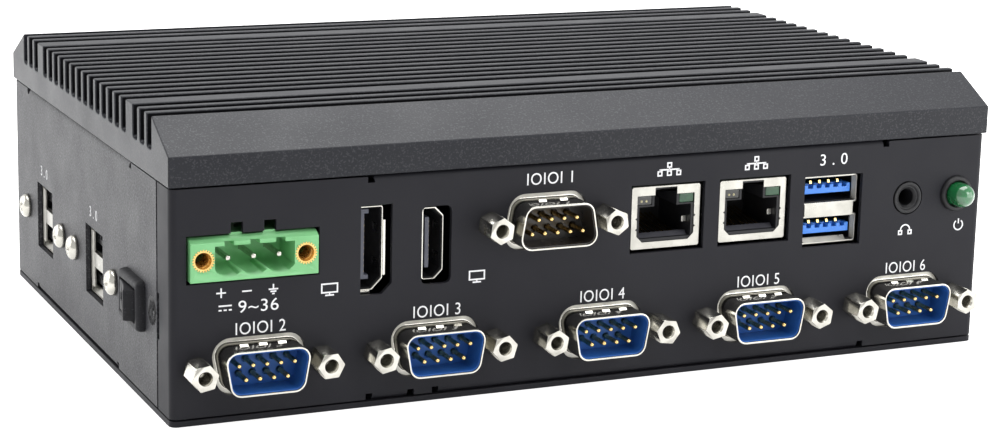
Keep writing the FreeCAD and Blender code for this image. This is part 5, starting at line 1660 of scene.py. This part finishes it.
def makeMarks():
    for number, _, up in serialPorts:
        words = inkText("serialMark%d" % number, "IOIOI %d" % number, 10.0)
        printBeside(words, "serial_shell_%d" % number, "firstSerial" if up < 0 else "serial")
    for number in (1, 2):
        tree = [loop(square(0.0, 0.85, 0.42)), line((0.0, 0.4), (0.0, -0.1)),
                line((-2.3, -0.1), (2.3, -0.1))]
        for u in (-2.15, 0.0, 2.15):
            tree += [line((u, -0.1), (u, -0.4)), loop(square(u, -0.85, 0.42))]
        printBeside(icon("lanMark%d" % number, tree), "lan_shield_%d" % number, "lan")
    printBeside(inkText("usbMark", "3 . 0", 6.6), "usb_shell", "usb")
    phones = [line(*arcPoints(1.15, 0, 180, 14, (0.0, -0.15))), loop(square(-1.2, -0.65, 0.38)),
              loop(square(1.2, -0.65, 0.38))]
    printBeside(icon("soundMark", phones), "audio_socket", "sound")
    power = [line(*arcPoints(1.1, 125, 415, 22, (0.0, -0.1))), line((0.0, 0.2), (0.0, 1.3))]
    printBeside(icon("lightMark", power), "light_lens", "light")
    printBeside(inkText("headerMark", "9~36", 8.0), "power_header", "voltage")
    direct = [line((-1.3, 0.45), (1.3, 0.45))]
    direct += [line((u - 0.3, -0.4), (u + 0.3, -0.4)) for u in (-1.0, 0.0, 1.0)]
    bar = line((-0.95, 0.0), (0.95, 0.0))
    plus = [bar, line((0.0, 0.16), (0.0, 0.95)), line((0.0, -0.16), (0.0, -0.95))]
    ground = [line((0.0, 0.95), (0.0, 0.1)), line((-0.95, -0.05), (0.95, -0.05)),
              line((-0.6, -0.5), (0.6, -0.5)), line((-0.25, -0.95), (0.25, -0.95))]
    for key, strokes in (("direct", direct), ("plus", plus), ("minus", [bar]), ("ground", ground)):
        printBeside(icon(key + "Mark", strokes), "power_header", key)
    for number in (1, 2):
        screen = [loop([(-1.6, -0.55), (1.6, -0.55), (1.6, 1.15), (-1.6, 1.15)]),
                  line((0.0, -0.7), (0.0, -1.0)), line((-0.9, -1.1), (0.9, -1.1))]
        printBeside(icon("videoMark%d" % number, screen), "video_shell_%d" % number, "video%d" % number)
    for number in (1, 2):
        words = inkText("sideUsbMark%d" % number, "3 . 0", 6.0, 2.2)
        printBeside(words, "side_usb_shell_%d" % number, "sideUsb", True, sideInk)


makeMarks()
print("marks printed")


# camera, lamps and floor

studio = {
    "lens": 88.55, "shift": (-0.0406, -0.0376), "stand": (-0.217145, -0.493642, 0.145998),
    "right": (0.90754, -0.41911, 0.02668), "up": (0.06490, 0.20273, 0.97708),
    "back": (-0.41491, -0.88501, 0.21118), "airOnSurfaces": 0.5, "airSeen": 1.0,
    "floorSide": 9000.0, "floorTone": (0.8, 0.8, 0.8, 1), "floorGlow": 0.72,
}
# place, target, width and height in metres, and power in watts
softboxes = {
    "topSoftbox": ((0.1, 0.05, 0.8), (0.0, 0.0, 0.03), 0.8, 0.8, 10.0),
    "leftSoftbox": ((-0.95, 0.75, 0.45), (-0.05, 0.05, 0.03), 1.3, 0.9, 9.2),
    "frontSoftbox": ((0.5, -0.95, 0.62), (0.0, -0.06, 0.04), 0.5, 0.4, 2.6),
    "rightCard": ((0.25, -0.245, 0.06), (0.085, -0.0625, 0.05), 0.3, 0.2, 0.48),
}


def makeStage():
    scene = bpy.context.scene
    scene.view_settings.view_transform = "Standard"
    camera = bpy.data.cameras.new("viewCamera")
    camera.lens = studio["lens"]
    camera.shift_x, camera.shift_y = studio["shift"]
    camera.clip_start = 0.01
    view = linked("viewCamera", camera)
    place = Matrix((studio["right"], studio["up"], studio["back"])).transposed().to_4x4()
    place.translation = studio["stand"]
    view.matrix_world = place
    scene.camera = view
    world = bpy.data.worlds.new("studio")
    scene.world = world
    world.use_nodes = True
    nodes, links = world.node_tree.nodes, world.node_tree.links
    nodes.clear()
    output = nodes.new("ShaderNodeOutputWorld")
    air = nodes.new("ShaderNodeBackground")
    air.inputs["Color"].default_value = (1, 1, 1, 1)
    seen = seenRays(nodes, links)
    strength = nodes.new("ShaderNodeMapRange")
    strength.inputs["To Min"].default_value = studio["airOnSurfaces"]
    strength.inputs["To Max"].default_value = studio["airSeen"]
    links.new(seen, strength.inputs["Value"])
    links.new(strength.outputs["Result"], air.inputs["Strength"])
    links.new(air.outputs["Background"], output.inputs["Surface"])
    for name, values in softboxes.items():
        softbox(name, *values)
    makeFloor()


def seenRays(nodes, links):
    # one for rays that show the background: straight, mirrored or through glass
    path = nodes.new("ShaderNodeLightPath")
    total = path.outputs["Is Camera Ray"]
    for label in ("Is Glossy Ray", "Is Transmission Ray"):
        either = nodes.new("ShaderNodeMath")
        either.operation = "MAXIMUM"
        links.new(total, either.inputs[0])
        links.new(path.outputs[label], either.inputs[1])
        total = either.outputs[0]
    return total


def softbox(name, place, target, width, tall, power):
    lamp = bpy.data.lights.new(name, "AREA")
    lamp.shape = "RECTANGLE"
    lamp.size, lamp.size_y, lamp.energy = width, tall, power
    holder = linked(name, lamp)
    holder.location = place
    holder.rotation_euler = (Vector(target) - Vector(place)).to_track_quat("-Z", "Y").to_euler()


def makeFloor():
    shape = bmesh.new()
    addPrism(shape, box2(studio["floorSide"], studio["floorSide"]), -10.0, -0.02)
    floor = newPiece("studioFloor", shape)
    material = bpy.data.materials.new("paleFloor")
    material.use_nodes = True
    nodes, links = material.node_tree.nodes, material.node_tree.links
    nodes.clear()
    matt = nodes.new("ShaderNodeBsdfDiffuse")
    matt.inputs["Color"].default_value = studio["floorTone"]
    glow = nodes.new("ShaderNodeEmission")
    scale = nodes.new("ShaderNodeMath")
    scale.operation = "MULTIPLY"
    scale.inputs[1].default_value = studio["floorGlow"]
    links.new(seenRays(nodes, links), scale.inputs[0])
    links.new(scale.outputs[0], glow.inputs["Strength"])
    both = nodes.new("ShaderNodeAddShader")
    output = nodes.new("ShaderNodeOutputMaterial")
    links.new(matt.outputs[0], both.inputs[0])
    links.new(glow.outputs[0], both.inputs[1])
    links.new(both.outputs[0], output.inputs["Surface"])
    floor.data.materials.append(material)


makeStage()
print("stage made")
